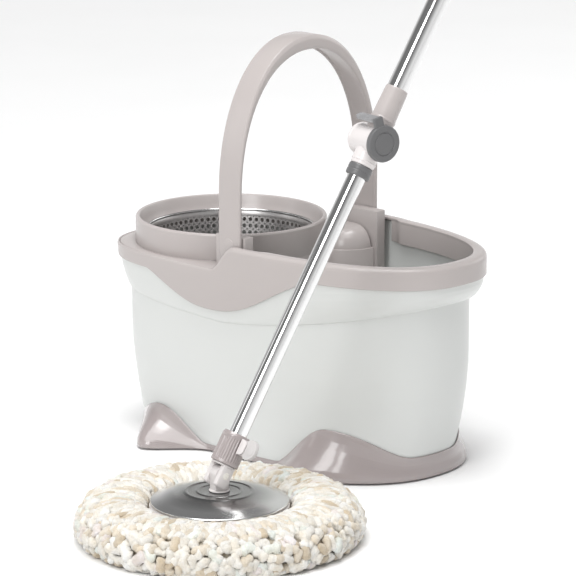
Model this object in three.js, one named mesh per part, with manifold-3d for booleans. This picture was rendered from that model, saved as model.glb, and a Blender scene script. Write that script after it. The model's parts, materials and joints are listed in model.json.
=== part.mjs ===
// Spin mop with its wringing bucket. Millimetres, +Z up, origin under the middle of the whole set.
// Bucket frame while building: X along the bucket's long axis, Y to the back, Z = 0 on the floor.
import * as THREE from "three";
import { mergeVertices } from "three/addons/utils/BufferGeometryUtils.js";
import Module from "manifold-3d";

const wasm = await Module();
wasm.setup();

const GAP = 0.3; // between pieces that touch
const TURN = 2 * Math.PI;
const degrees = THREE.MathUtils.degToRad;
const lerp = THREE.MathUtils.lerp;
const smoothstep = THREE.MathUtils.smoothstep;

// Bucket plan: two half superellipses, blunt on the basket side and long on the water side.
const RIM = { x0: -5.35, right: 282.4, left: 219.7, side: 134, rightPower: 2.42, leftPower: 3.74 };
const FOOTPRINT = { x0: -25, right: 267, left: 205, side: 156, rightPower: 2.3, leftPower: 2.3 };
const LEFT_FOOT = { x0: -25, right: 150, left: 150, side: 184, rightPower: 2.3, leftPower: 2.3 };
const SIDES = 56; // facets round the bucket

// Bucket heights
const RIM_TOP = 266;
const LEDGE_TOP = 235; // the lower rim beside the basket housing
const COLLAR_BOTTOM = 240;
const LEDGE_BOTTOM = 218;
const WAVE_BOTTOM = 184;
const TUB_BOTTOM = 6;
const TUB_FLOOR = 10;
const TUB_WALL = 3;
const SKIRT_BOTTOM = 2.5;
const FOOT_RADIUS = 13;
const FEET = [
  ["foot_front_left", -140, -95],
  ["foot_front_right", 150, -88],
  ["foot_back_left", -140, 95],
  ["foot_back_right", 150, 88],
];

// Basket housing and basket
const RING = { x: -103.4, radius: 118, top: 267, throat: 106.6, throatZ: 248.5 };
const BASKET = { bottom: 152, top: 247.5, bottomRadius: 86, topRadius: 103, sheet: 1.5 };
const AXLE_RADIUS = 4;
const RING_SIDES = 52;
const DECK = { bottom: 231.2, thickness: 3.5, inset: 3.7, end: -9 };
const TOWER = { from: 100, to: 115.6, left: -16, bottom: 200 };
const TOWER_RIGHT = { front: 32, back: 48 };
const TOWER_TOP = { front: 275, back: 276 };

// Carry handle
const HANDLE = { x: 12, width: 36, corner: 11, halfSpan: 122, pivotZ: 265 };
const HANDLE_ARCH = { from: 322, rise: 183, power: 2.13 };
const HANDLE_LEG = 5;
const HANDLE_CROWN = 17;
const PIVOT_RADIUS = 5;

// Detergent dispenser
const SOAP = { x: 8, y: 99.4, radiusX: 36, radiusY: 44, bottom: 150, mouth: 231, capTop: 260, wall: 2 };

// Mop
const HEAD = { x: 221.2, y: -350.8, padRadius: 162, plateRadius: 78, rimZ: 45, crownZ: 55 };
const PIN = { z: 75, radius: 4, half: 13.6 };
const LUG = { half: 6.3, radius: 9 };
const LEAN = 30.72;
const HEADING = -11.43;
const BARREL_TWIST = -1.5;
const LOWER_TUBE = { radius: 10.7, from: 26, to: 575, wall: 1 };
const UPPER_TUBE = { radius: 12.1, from: 386, to: 1128, wall: 1.1 };
const SLEEVE = { from: 11.9, to: 48.5, radius: 16.6 };
const SCREW = { width: 9, thickness: 3.2, from: 430, length: 300, pitch: 110 };
const BARREL = { at: 413, radius: 18.6, from: -25.5, to: 15.5 };
const LEVER = { radius: 21.3, thickness: 7.2, angle: 45 }; // angle of its arm round the barrel
const TAB = { pivot: 22, out: 34, at: 36.7, radius: 12, half: 2.5 };

const finishes = {
  taupe: { color: 0xa8a09e, roughness: 0.35, metalness: 0 },
  dark_taupe: { color: 0x8f8684, roughness: 0.22, metalness: 0 },
  white: { color: 0xebeeec, roughness: 0.25, metalness: 0 },
  dark_grey: { color: 0x646464, roughness: 0.4, metalness: 0 },
  rubber: { color: 0x4a4a4a, roughness: 0.8, metalness: 0 },
  steel: { color: 0xc8c8c8, roughness: 0.25, metalness: 1 },
  dark_steel: { color: 0x6a6666, roughness: 0.35, metalness: 1 },
  yarn: { color: 0xe6dccb, roughness: 0.95, metalness: 0 },
};

// ---------- helpers ----------

function solidOf(geometry) {
  const source = geometry.index ? geometry.toNonIndexed() : geometry;
  const plain = new THREE.BufferGeometry().setAttribute("position", source.getAttribute("position"));
  const merged = mergeVertices(plain, 1e-3);
  return new wasm.Manifold(
    new wasm.Mesh({
      numProp: 3,
      vertProperties: merged.attributes.position.array,
      triVerts: new Uint32Array(merged.index.array),
    }),
  );
}

function geometryOf(solid) {
  const mesh = solid.getMesh();
  const geometry = new THREE.BufferGeometry();
  geometry.setAttribute("position", new THREE.BufferAttribute(mesh.vertProperties, 3));
  geometry.setIndex(new THREE.BufferAttribute(mesh.triVerts, 1));
  return geometry;
}

function join(...solids) {
  return solids.reduce((sum, solid) => sum.add(solid));
}

function piece(name, shape, finish) {
  const geometry = shape.isBufferGeometry ? shape : geometryOf(shape);
  const mesh = new THREE.Mesh(geometry, new THREE.MeshStandardMaterial(finishes[finish]));
  mesh.name = name;
  return mesh;
}

// A solid of revolution about Z; the profile is a list of [radius, height], counter-clockwise.
function revolve(profile, sides, x = 0) {
  const points = profile.map(([radius, height]) => new THREE.Vector2(radius, height));
  const first = profile[0];
  if (first[0] > 0) points.push(new THREE.Vector2(first[0], first[1]));
  return new THREE.LatheGeometry(points, sides).rotateX(Math.PI / 2).translate(x, 0, 0);
}

function rod(radius, from, to, sides = 32) {
  return revolve([[0, from], [radius, from], [radius, to], [0, to]], sides);
}

function pipe(outer, inner, from, to, sides = 32) {
  return revolve([[inner, from], [outer, from], [outer, to], [inner, to]], sides);
}

function box(low, high) {
  const size = high.map((value, i) => value - low[i]);
  const middle = high.map((value, i) => (value + low[i]) / 2);
  return new THREE.BoxGeometry(...size).translate(...middle);
}

// The plan's point at parameter t, scaled about the plan's centre, then moved outwards.
function planPoint(plan, t, ratio, outwards = 0) {
  const long = Math.cos(t) >= 0 ? plan.right : plan.left;
  const power = Math.cos(t) >= 0 ? plan.rightPower : plan.leftPower;
  const angle = Math.atan2(plan.side * Math.sin(t), long * Math.cos(t));
  const alongX = Math.abs(Math.cos(angle) / long) ** power;
  const alongY = Math.abs(Math.sin(angle) / plan.side) ** power;
  const radius = ratio * (alongX + alongY) ** (-1 / power) + outwards;
  return [plan.x0 + radius * Math.cos(angle), radius * Math.sin(angle)];
}

// A closed skin round the bucket. sectionAt(t) gives its section's [x, y, z] points at parameter t.
function planSolid(sectionAt, closed) {
  const count = sectionAt(0).length + (closed ? 1 : 0);
  const ladder = Array.from({ length: count }, (_, j) => new THREE.Vector2(1 + j, j));
  const geometry = new THREE.LatheGeometry(ladder, SIDES);
  const position = geometry.getAttribute("position");
  for (let i = 0; i <= SIDES; i++) {
    const section = sectionAt(((i % SIDES) / SIDES) * TURN - Math.PI / 2);
    for (let j = 0; j < count; j++) position.setXYZ(i * count + j, ...section[j % section.length]);
  }
  return solidOf(geometry);
}

// ---------- the bucket's curves ----------

// Top of the collar: the ledge beside the basket, then the step up at the handle.
function collarTop(x) {
  return lerp(LEDGE_TOP, RIM_TOP, smoothstep(x, -8, 26));
}

// Width of the collar's flat top: only its own skin on the ledge, a notch at the handle, then full.
function collarWidth(x) {
  return lerp(3.2, 11, smoothstep(x, 8, 22)) + lerp(0, 7, smoothstep(x, 62, 84));
}

// The lip inside the water side hangs from the inner edge of the collar's flat top.
function lipInset(t) {
  return Math.max(collarWidth(planPoint(RIM, t, 1)[0]), 11);
}

// Lower edge of the collar: a wave that hangs lowest near the middle.
function waveEdge(x) {
  if (x < -18) {
    const u = Math.min((-18 - x) / 102, 1);
    return lerp(WAVE_BOTTOM, LEDGE_BOTTOM, u ** 2.4 * (1 + 1.3 * (1 - u)));
  }
  const u = THREE.MathUtils.clamp((x + 14) / 167, 0, 1);
  return lerp(WAVE_BOTTOM, COLLAR_BOTTOM, smoothstep(u ** 1.25, 0, 1));
}

// Lower edge of the white shoulder band.
function shoulderEdge(x) {
  return x < 0 ? 169.5 + 14 * (-x / 225) ** 1.3 : 169.5 + 43 * (x / 277) ** 1.35;
}

// Plan ratio of the plain wall under the shoulder.
function wallRatio(z) {
  return 0.917 - 0.063 * (Math.max(135 - z, 0) / 110) ** 1.6;
}

// How far up the bowl-shaped shoulder a height is, 0 at its edge and 1 at the collar.
function bowlRise(z, edge) {
  const u = THREE.MathUtils.clamp((z - edge) / (COLLAR_BOTTOM - edge), 0, 1);
  return 1 - (1 - u) ** 2.2;
}

// A point on the shoulder band at height z, moved outwards.
function bowlPoint(t, z, outwards) {
  const edge = shoulderEdge(planPoint(RIM, t, 1)[0]);
  const rise = bowlRise(z, edge);
  return [...planPoint(RIM, t, 0.93 + 0.07 * rise, outwards - 3.2 * rise), z];
}

function wallPoint(t, z, outwards) {
  return [...planPoint(RIM, t, wallRatio(z), outwards), z];
}

// ---------- bucket pieces ----------

function bucketTub() {
  return planSolid((t) => {
    const x = planPoint(RIM, t, 1)[0];
    const edge = shoulderEdge(x);
    const top = collarTop(x) - 6.5;
    const heights = [0.12, 0.3, 0.6, 1].map((u) => lerp(edge + 1.5, top, u));
    const outer = [
      [...planPoint(RIM, t, 0), TUB_BOTTOM],
      [...planPoint(RIM, t, 0.82), TUB_BOTTOM],
      wallPoint(t, TUB_BOTTOM + 2, 0),
      wallPoint(t, 45, 0),
      wallPoint(t, 90, 0),
      wallPoint(t, edge, 0),
      [...planPoint(RIM, t, 0.93), edge + 0.8],
      ...heights.map((z) => bowlPoint(t, z, 0)),
    ];
    const inner = [
      ...heights.toReversed().map((z) => bowlPoint(t, z, -TUB_WALL)),
      [...planPoint(RIM, t, 0.93, -TUB_WALL - 0.4), edge + 2.4],
      wallPoint(t, edge - 1, -TUB_WALL),
      wallPoint(t, 90, -TUB_WALL),
      wallPoint(t, 45, -TUB_WALL),
      wallPoint(t, TUB_FLOOR + 5, -TUB_WALL),
      [...planPoint(RIM, t, 0.79), TUB_FLOOR],
      [...planPoint(RIM, t, 0), TUB_FLOOR],
    ];
    return [...outer, ...inner];
  }, false);
}

function rimCollar() {
  const skin = planSolid((t) => {
    const x = planPoint(RIM, t, 1)[0];
    const top = collarTop(x);
    const width = collarWidth(x);
    const heights = [0, 0.35, 0.7, 1].map((u) => lerp(waveEdge(x), top - 7, u));
    return [
      ...heights.map((z) => bowlPoint(t, z, 3.2)),
      [...planPoint(RIM, t, 1, -0.12 * width), top - 2.2],
      [...planPoint(RIM, t, 1, -0.35 * width), top - 0.3],
      [...planPoint(RIM, t, 1, -0.6 * width), top],
      [...planPoint(RIM, t, 1, -width), top],
      [...planPoint(RIM, t, 1, -width), top - 4],
      [...planPoint(RIM, t, 1, -2.8), top - 4.2],
      ...heights.toReversed().map((z) => bowlPoint(t, z, 0.4)),
    ];
  }, true);
  // the lip that hangs inside the water side
  const lip = planSolid(
    (t) => [
      [...planPoint(RIM, t, 1, 3 - lipInset(t)), 236],
      [...planPoint(RIM, t, 1, 3 - lipInset(t)), RIM_TOP - 3],
      [...planPoint(RIM, t, 1, 0.2 - lipInset(t)), RIM_TOP - 1],
      [...planPoint(RIM, t, 1, 0.2 - lipInset(t)), 236],
    ],
    true,
  );
  return join(skin, lip.intersect(solidOf(box([50, -150, 200], [300, 150, 300]))));
}

function towerBlock(from, to, right, top) {
  return solidOf(box([TOWER.left, from, TOWER.bottom], [right, to, top]));
}

function basketHousing() {
  const ring = solidOf(
    revolve(
      [
        [114.5, 231], [RING.radius, 231], [RING.radius, 264.5], [116.8, 266.5], [115, RING.top],
        [113, 266.2], [108.6, 252], [RING.throat, RING.throatZ], [RING.throat, 240],
      ],
      RING_SIDES,
      RING.x,
    ),
  );
  const lowerWall = solidOf(pipe(RING.radius, 114.5, 190, 233, RING_SIDES).translate(RING.x, 0, 0));
  const waterSide = solidOf(box([-95, -150, 180], [100, 150, 300]));
  const deckPlan = new THREE.Shape();
  for (let i = 0; i < SIDES; i++) {
    const corner = planPoint(RIM, (i / SIDES) * TURN, 1, -DECK.inset);
    if (i === 0) deckPlan.moveTo(...corner);
    else deckPlan.lineTo(...corner);
  }
  const deckPlate = new THREE.ExtrudeGeometry(deckPlan, { depth: DECK.thickness, bevelEnabled: false });
  const deck = solidOf(deckPlate.translate(0, 0, DECK.bottom))
    .intersect(solidOf(box([-300, -150, 200], [DECK.end, 150, 300])))
    .subtract(solidOf(box([-60, -98, 200], [0, 98, 300])))
    .subtract(solidOf(rod(116, 200, 300, RING_SIDES).translate(RING.x, 0, 0)));
  const frontTower = towerBlock(-TOWER.to, -TOWER.from, TOWER_RIGHT.front, TOWER_TOP.front);
  const backTower = towerBlock(TOWER.from, TOWER.to, TOWER_RIGHT.back, TOWER_TOP.back);
  const screwHoles = solidOf(rod(PIVOT_RADIUS + GAP, -130, 130, 24).rotateX(Math.PI / 2))
    .subtract(solidOf(box([-20, -103, -20], [20, 103, 20])))
    .translate([HANDLE.x, 0, HANDLE.pivotZ]);
  return join(deck, ring, lowerWall.intersect(waterSide), frontTower, backTower)
    .subtract(solidOf(rod(114.5, 180, 231.5, RING_SIDES).translate(RING.x, 0, 0)))
    .subtract(screwHoles);
}

// The four corner lobes of the base and how it narrows between them.
const RIGHT_LOBE = { centre: 54, peak: 60, towardNose: 37, towardSide: 19, nose: 28, side: 4, bulge: 1 };
const LEFT_LOBE = { centre: 120, peak: 44, towardNose: 28, towardSide: 24, nose: 5, side: 4, bulge: 0.55 };

function lobe(t) {
  const angle = THREE.MathUtils.radToDeg(Math.abs(Math.atan2(Math.sin(t), Math.cos(t))));
  const right = angle < 90;
  const corner = right ? RIGHT_LOBE : LEFT_LOBE;
  const noseSide = right ? angle < corner.centre : angle > corner.centre;
  const reach = noseSide ? corner.towardNose : corner.towardSide;
  const u = Math.min(Math.abs(angle - corner.centre) / reach, 1);
  const swell = (1 + Math.cos(Math.PI * u)) / 2;
  const height = lerp(noseSide ? corner.nose : corner.side, corner.peak, swell);
  const wide = planPoint(right ? FOOTPRINT : LEFT_FOOT, t, 1);
  const narrow = planPoint(RIM, t, 0.835, 3.5);
  const spread = right && noseSide ? 1 : swell;
  const foot = [lerp(narrow[0], wide[0], spread), lerp(narrow[1], wide[1], spread)];
  return { height, foot, bulge: corner.bulge };
}

function baseSkirt() {
  return planSolid((t) => {
    const { height, foot, bulge } = lobe(t);
    const flare = (u, share) => {
      const out = share ** bulge;
      const z = lerp(SKIRT_BOTTOM, height, u);
      const wall = wallPoint(t, z, 2.2);
      return [lerp(wall[0], foot[0], out), lerp(wall[1], foot[1], out), z];
    };
    return [
      [...planPoint(RIM, t, 0.5), SKIRT_BOTTOM],
      flare(0, 0.97),
      flare(0.06, 1),
      flare(0.2, 0.95),
      flare(0.5, 0.58),
      flare(0.8, 0.2),
      flare(1, 0),
      wallPoint(t, height + 0.8, GAP + 0.3),
      wallPoint(t, Math.max((height + TUB_BOTTOM) / 2, TUB_BOTTOM + 3), GAP),
      wallPoint(t, TUB_BOTTOM + 2, GAP),
      [...planPoint(RIM, t, 0.821, GAP), TUB_BOTTOM - GAP],
      [...planPoint(RIM, t, 0.5), TUB_BOTTOM - GAP],
    ];
  }, true);
}

function handleOutline(inset, crown) {
  const points = [];
  const steps = 24;
  for (let i = 0; i <= steps; i++) {
    const angle = (i / steps) * Math.PI;
    const cos = Math.cos(angle);
    const across = Math.sign(cos) * Math.abs(cos) ** (2 / HANDLE_ARCH.power) * (HANDLE.halfSpan - inset);
    const up = Math.sin(angle) ** (2 / HANDLE_ARCH.power) * (HANDLE_ARCH.rise - crown);
    points.push(new THREE.Vector2(across, HANDLE_ARCH.from + up));
  }
  return points;
}

function carryHandle() {
  const foot = HANDLE.pivotZ - HANDLE.width / 2;
  const bevel = 1.5;
  const outer = handleOutline(bevel, bevel);
  const inner = handleOutline(HANDLE_LEG - bevel, HANDLE_CROWN - bevel).reverse();
  const edge = HANDLE.halfSpan - bevel;
  const innerEdge = HANDLE.halfSpan - HANDLE_LEG + bevel;
  const outline = [
    new THREE.Vector2(edge, foot),
    ...outer,
    new THREE.Vector2(-edge, foot),
    new THREE.Vector2(-innerEdge, foot),
    ...inner,
    new THREE.Vector2(innerEdge, foot),
  ];
  // drawn in Y and Z, extruded along X
  const strap = new THREE.ExtrudeGeometry(new THREE.Shape(outline), {
    depth: HANDLE.width - 2 * bevel,
    bevelThickness: bevel,
    bevelSize: bevel,
    bevelSegments: 1,
  })
    .translate(0, 0, bevel - HANDLE.width / 2)
    .rotateX(Math.PI / 2)
    .rotateZ(Math.PI / 2)
    .translate(HANDLE.x, 0, 0);
  // a side view with round lower ends, and the screw holes with room for the heads
  const half = HANDLE.width / 2;
  const corner = HANDLE.corner;
  const side = new THREE.Shape();
  side.moveTo(half, foot + corner);
  side.lineTo(half, HANDLE_ARCH.from + HANDLE_ARCH.rise + 5);
  side.lineTo(-half, HANDLE_ARCH.from + HANDLE_ARCH.rise + 5);
  side.absarc(corner - half, foot + corner, corner, Math.PI, 1.5 * Math.PI, false);
  side.absarc(half - corner, foot + corner, corner, 1.5 * Math.PI, TURN, false);
  const sideSolid = new THREE.ExtrudeGeometry(side, { depth: 300, bevelEnabled: false, curveSegments: 6 })
    .translate(0, 0, -150)
    .rotateX(Math.PI / 2)
    .translate(HANDLE.x, 0, 0);
  const along = (shape) => solidOf(shape.rotateX(Math.PI / 2).translate(HANDLE.x, 0, HANDLE.pivotZ));
  const shank = along(rod(PIVOT_RADIUS + GAP, -140, 140, 24));
  const heads = along(rod(8.4, -140, 140, 24)).subtract(solidOf(box([-20, -119.6, 200], [40, 119.6, 300])));
  return solidOf(strap).intersect(solidOf(sideSolid)).subtract(shank).subtract(heads);
}

function pivotScrew(sign) {
  const shape = revolve(
    [[0, 104], [PIVOT_RADIUS, 104], [PIVOT_RADIUS, 119.9], [8, 119.9], [8, 121.6], [0, 121.6]],
    24,
  );
  return shape.rotateX((-sign * Math.PI) / 2).translate(HANDLE.x, 0, HANDLE.pivotZ);
}

function wringerBasket() {
  const { bottom, top, bottomRadius, topRadius, sheet } = BASKET;
  return revolve(
    [
      [20.3, bottom], [bottomRadius, bottom], [bottomRadius + 4, bottom + 4], [topRadius, top - 3.5],
      [105.2, top - 1.2], [105.2, top], [102.6, top], [topRadius - sheet, top - 3.2],
      [bottomRadius + 2.6, bottom + 5], [bottomRadius - 0.6, bottom + sheet], [20.3, bottom + sheet],
    ],
    44,
    RING.x,
  );
}

function basketLip() {
  return pipe(106, 102.6, BASKET.top + GAP, BASKET.top + 2.6, 44).translate(RING.x, 0, 0);
}

function basketHub() {
  return revolve(
    [
      [0, 168], [AXLE_RADIUS + GAP, 168], [AXLE_RADIUS + GAP, 146], [24, 146], [24, 151.7], [20, 151.7],
      [20, 153.8], [27, 153.8], [27, 157], [14, 172], [9, 178], [0, 179],
    ],
    24,
    RING.x,
  );
}

function basketPedestal() {
  return revolve(
    [
      [0, TUB_FLOOR + GAP], [46, TUB_FLOOR + GAP], [46, 16], [28, 20], [13, 143],
      [AXLE_RADIUS + GAP, 143], [AXLE_RADIUS + GAP, 60], [0, 60],
    ],
    24,
    RING.x,
  );
}

// Plan of the dispenser: a half ellipse that bulges from the back tower towards the front.
function soapPlan(inset) {
  const shape = new THREE.Shape();
  const across = SOAP.radiusX - inset;
  const deep = SOAP.radiusY - 2 * inset;
  shape.moveTo(across, -inset);
  for (let i = 1; i <= 16; i++) {
    const angle = (-i / 16) * Math.PI;
    shape.lineTo(across * Math.cos(angle), deep * Math.sin(angle) - inset);
  }
  return shape;
}

function soapPrism(inset, from, to) {
  const block = new THREE.ExtrudeGeometry(soapPlan(inset), { depth: to - from, bevelEnabled: false });
  return solidOf(block.translate(SOAP.x, SOAP.y, from));
}

function housingClearance(gap) {
  return solidOf(rod(RING.radius + gap, 100, 300, RING_SIDES).translate(RING.x, 0, 0));
}

function soapTank() {
  const inside = soapPrism(SOAP.wall, SOAP.bottom + 3, SOAP.mouth + 1).subtract(
    housingClearance(GAP + SOAP.wall),
  );
  return soapPrism(0, SOAP.bottom, SOAP.mouth).subtract(housingClearance(GAP)).subtract(inside);
}

// Dome over the dispenser's plan, open below.
function soapDome(inset, from) {
  const dome = new THREE.SphereGeometry(1, 24, 12).rotateX(Math.PI / 2);
  dome.scale(SOAP.radiusX - inset, SOAP.radiusY - 2 * inset, SOAP.capTop - SOAP.mouth - inset + 5);
  dome.translate(SOAP.x, SOAP.y - inset, SOAP.mouth - 5);
  const upper = solidOf(dome).intersect(
    solidOf(box([-60, 0, SOAP.mouth - 5], [80, SOAP.y - inset, SOAP.capTop + 5])),
  );
  return join(upper, soapPrism(inset, from, SOAP.mouth - 4.9));
}

function soapCap() {
  const reach = SOAP.wall + GAP + 0.2;
  const outer = soapDome(reach, SOAP.mouth - 5).subtract(housingClearance(reach + 0.3));
  const inner = soapDome(reach + 2, SOAP.mouth - 12).subtract(housingClearance(reach + 2.3));
  return outer.subtract(inner);
}

class Helix extends THREE.Curve {
  constructor(radius, height, turns) {
    super();
    Object.assign(this, { radius, height, turns });
  }
  getPoint(u, target = new THREE.Vector3()) {
    const angle = u * this.turns * TURN;
    return target.set(this.radius * Math.cos(angle), this.radius * Math.sin(angle), u * this.height);
  }
}

function soapSpring() {
  const wire = new THREE.Shape().absarc(0, 0, 0.9, 0, TURN, false);
  const coil = new THREE.ExtrudeGeometry(wire, {
    steps: 54,
    curveSegments: 4,
    extrudePath: new Helix(8, 84, 5),
  });
  return coil.translate(SOAP.x + 4, SOAP.y - 20, SOAP.bottom + 4.5);
}

// ---------- mop pieces, head upright at the origin of the head's own frame ----------

function mopPad() {
  const edge = HEAD.padRadius;
  return revolve(
    [
      [0, 0], [edge - 17, 0], [edge - 5, 5], [edge, 14], [edge - 1, 25], [edge - 9, 38], [edge - 24, 48],
      [118, 52.5], [96, 49], [84, 42], [82, 29], [0, 29],
    ],
    36,
  );
}

function yarnCarrier() {
  return revolve([[30, 29.5], [79, 29.5], [79, 40], [74, 42.6], [62, 42.6], [60, 34], [30, 34]], 28);
}

function headPlate() {
  const rim = HEAD.rimZ;
  const crown = HEAD.crownZ;
  const edge = HEAD.plateRadius;
  return revolve(
    [
      [8.3, crown - 1.5], [38, crown - 1.8], [60, crown - 6], [edge - 2, rim - 2], [edge, rim - 2],
      [edge, rim + 0.2], [60, crown - 4], [41, crown - 0.3], [38.5, crown + 0.8], [36.5, crown + 0.8],
      [35, crown], [26.5, crown], [25.5, crown + 0.9], [24, crown + 0.9], [22.5, crown], [8.3, crown],
    ],
    44,
  );
}

function swivelBase() {
  const foot = revolve([[0, 46], [8, 46], [8, 55.3], [11.8, 55.3], [11.8, 56.8], [10.8, 57.4], [0, 57.4]], 36);
  const lug = new THREE.Shape();
  lug.moveTo(LUG.radius, 57);
  lug.lineTo(LUG.radius, PIN.z);
  lug.absarc(0, PIN.z, LUG.radius, 0, Math.PI, false);
  lug.lineTo(-LUG.radius, 57);
  const lugSolid = new THREE.ExtrudeGeometry(lug, { depth: 2 * LUG.half, bevelEnabled: false })
    .translate(0, 0, -LUG.half)
    .rotateX(Math.PI / 2)
    .rotateZ(Math.PI / 2);
  const hole = solidOf(crossRod(PIN.radius + GAP, 30)).translate([0, 0, PIN.z]);
  return join(solidOf(foot), solidOf(lugSolid)).subtract(hole);
}

function swivelWasher() {
  return pipe(15, 8.3, 49.5, 52.5, 32);
}

// ---------- pole pieces: Z along the pole, origin at the tilt pin ----------

// A rod along X through the origin.
function crossRod(radius, half) {
  return rod(radius, -half, half, 24).rotateY(Math.PI / 2);
}

function forkConnector() {
  const ear = new THREE.Shape();
  ear.moveTo(-8, 10.5);
  ear.lineTo(-8, -11.5);
  ear.absarc(-5, -11.5, 3, Math.PI, 1.5 * Math.PI, false);
  ear.absarc(5, -11.5, 3, 1.5 * Math.PI, TURN, false);
  ear.lineTo(8, 10.5);
  const thickness = 6.8;
  const inner = LUG.half + GAP;
  const ears = [-inner - thickness, inner].map((x) =>
    solidOf(
      new THREE.ExtrudeGeometry(ear, { depth: thickness, bevelEnabled: false, curveSegments: 5 })
        .rotateX(Math.PI / 2)
        .rotateZ(Math.PI / 2)
        .translate(x, 0, 0),
    ),
  );
  const socket = solidOf(
    revolve([[0, 9.6], [14.2, 9.6], [14.8, 10.2], [14.8, 11.6], [12.4, 11.6], [12.4, 32], [0, 32]], 32),
  );
  const bore = solidOf(rod(LOWER_TUBE.radius + GAP, LOWER_TUBE.from - GAP, 60));
  return join(...ears, socket).subtract(solidOf(crossRod(PIN.radius + GAP, 30))).subtract(bore);
}

function connectorSleeve() {
  const bore = LOWER_TUBE.radius + GAP;
  const socket = 12.4 + GAP;
  const { from, to, radius } = SLEEVE;
  return revolve(
    [
      [socket, from], [radius, from], [radius, to - 3], [radius - 1.6, to],
      [bore, to], [bore, 32.4], [socket, 32.4],
    ],
    32,
  );
}

// Drawn in X and Z, centred on Y = 0.
function sidePlate(shape, half, curveSegments) {
  return new THREE.ExtrudeGeometry(shape, { depth: 2 * half, bevelEnabled: false, curveSegments })
    .translate(0, 0, -half)
    .rotateX(Math.PI / 2);
}

function tabBracket() {
  // two cheeks on a web against the sleeve's side
  const cheek = new THREE.Shape();
  cheek.moveTo(17.2, TAB.at - 9.5);
  cheek.lineTo(25, TAB.at - 8.5);
  cheek.lineTo(28, TAB.at - 5.5);
  cheek.lineTo(28, TAB.at + 5.5);
  cheek.lineTo(25, TAB.at + 8.5);
  cheek.lineTo(17.2, TAB.at + 9);
  const gap = solidOf(box([18.8, -TAB.half - GAP, 0], [60, TAB.half + GAP, 80]));
  return solidOf(sidePlate(cheek, TAB.half + 2, 4)).subtract(gap);
}

function headLockTab() {
  // a round thumb paddle between the cheeks, hinged at its inner end
  const paddle = new THREE.Shape();
  paddle.absarc(TAB.pivot, TAB.at, 2.6, Math.PI / 2, 1.5 * Math.PI, false);
  paddle.absarc(TAB.out, TAB.at, TAB.radius, -0.8 * Math.PI, 0.8 * Math.PI, false);
  return sidePlate(paddle, TAB.half, 10);
}

function poleTube(tube) {
  return pipe(tube.radius, tube.radius - tube.wall, tube.from, tube.to, 32);
}

function driveNut() {
  return pipe(LOWER_TUBE.radius - LOWER_TUBE.wall - GAP, 5.2, 555, 575, 24);
}

function driveScrew() {
  // a flat bar, twisted
  const { width, thickness, from, length, pitch } = SCREW;
  const bar = new THREE.BoxGeometry(width, thickness, length, 1, 1, 32).translate(0, 0, length / 2);
  const position = bar.getAttribute("position");
  const point = new THREE.Vector3();
  const up = new THREE.Vector3(0, 0, 1);
  for (let i = 0; i < position.count; i++) {
    point.fromBufferAttribute(position, i);
    point.applyAxisAngle(up, (point.z / pitch) * TURN);
    position.setXYZ(i, point.x, point.y, point.z);
  }
  return bar.translate(0, 0, from);
}

function screwPlug() {
  return pipe(UPPER_TUBE.radius - UPPER_TUBE.wall - GAP, 5.2, 712, 728, 24);
}

function tubeSealRing() {
  const bore = LOWER_TUBE.radius + GAP;
  const from = BARREL.at - 44.5;
  const to = from + 13.2;
  return revolve([[bore, from], [13.4, from], [14.1, from + 1], [14.1, to - 1], [13.4, to], [bore, to]], 32);
}

function lockBarrel() {
  const { at, radius, from, to } = BARREL;
  const drum = solidOf(
    revolve([[0, from], [radius - 2, from], [radius, from + 2], [radius, to], [0, to]], 36)
      .rotateY(Math.PI / 2)
      .translate(0, 0, at),
  );
  const foot = at - 31;
  const neck = solidOf(revolve([[0, foot], [13.2, foot], [14, foot + 2], [14.3, at - 12], [0, at - 12]], 32));
  const bore = solidOf(rod(UPPER_TUBE.radius + GAP, at - 50, at + 50));
  return join(drum, neck).subtract(bore);
}

function barrelSleeve() {
  const bore = UPPER_TUBE.radius + GAP;
  const { at } = BARREL;
  const body = revolve(
    [[bore, at + 3], [14.4, at + 3], [14.4, at + 26], [13.5, at + 64], [13.1, at + 65.5], [bore, at + 65.5]],
    32,
  );
  const drum = crossRod(BARREL.radius + GAP, 40).translate(0, 0, at);
  return solidOf(body).subtract(solidOf(drum));
}

function lockLever() {
  const { radius, thickness, angle } = LEVER;
  const face = BARREL.to + GAP;
  const back = face + thickness;
  const disc = solidOf(
    revolve(
      [[0, face], [radius - 1, face], [radius, face + 1], [radius, back - 1], [radius - 1, back], [0, back]],
      36,
    ).rotateY(Math.PI / 2),
  );
  const arm = solidOf(box([face + 1, -6, 8], [back - 1, 6, 31.5]));
  const bridge = solidOf(box([-18, -4.5, 25.5], [back - 1, 4.5, 31.5]));
  return geometryOf(join(disc, arm, bridge))
    .rotateX(degrees(angle))
    .translate(0, 0, BARREL.at);
}

function handGrip() {
  const bore = UPPER_TUBE.radius + GAP;
  return revolve(
    [
      [bore, 985], [14.5, 985], [16, 989], [16, 1040], [15, 1060],
      [15, 1085], [16.2, 1105], [16.2, 1127], [bore, 1127],
    ],
    32,
  );
}

function endCap() {
  const plugRadius = UPPER_TUBE.radius - UPPER_TUBE.wall - GAP;
  const plug = solidOf(
    revolve(
      [[0, 1110], [plugRadius, 1110], [plugRadius, 1128.3], [16.2, 1128.3], [15.4, 1136], [0, 1136]],
      32,
    ),
  );
  const loop = new THREE.Shape();
  loop.moveTo(13, 1130);
  loop.absarc(0, 1150, 13, 0, Math.PI, false);
  loop.lineTo(-13, 1130);
  const loopSolid = new THREE.ExtrudeGeometry(loop, { depth: 8, bevelEnabled: false, curveSegments: 12 })
    .translate(0, 0, -4)
    .rotateX(Math.PI / 2);
  const eye = rod(7.5, -20, 20, 24).rotateX(Math.PI / 2).translate(0, 0, 1149);
  return join(plug, solidOf(loopSolid)).subtract(solidOf(eye));
}

// ---------- assembly ----------

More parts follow.
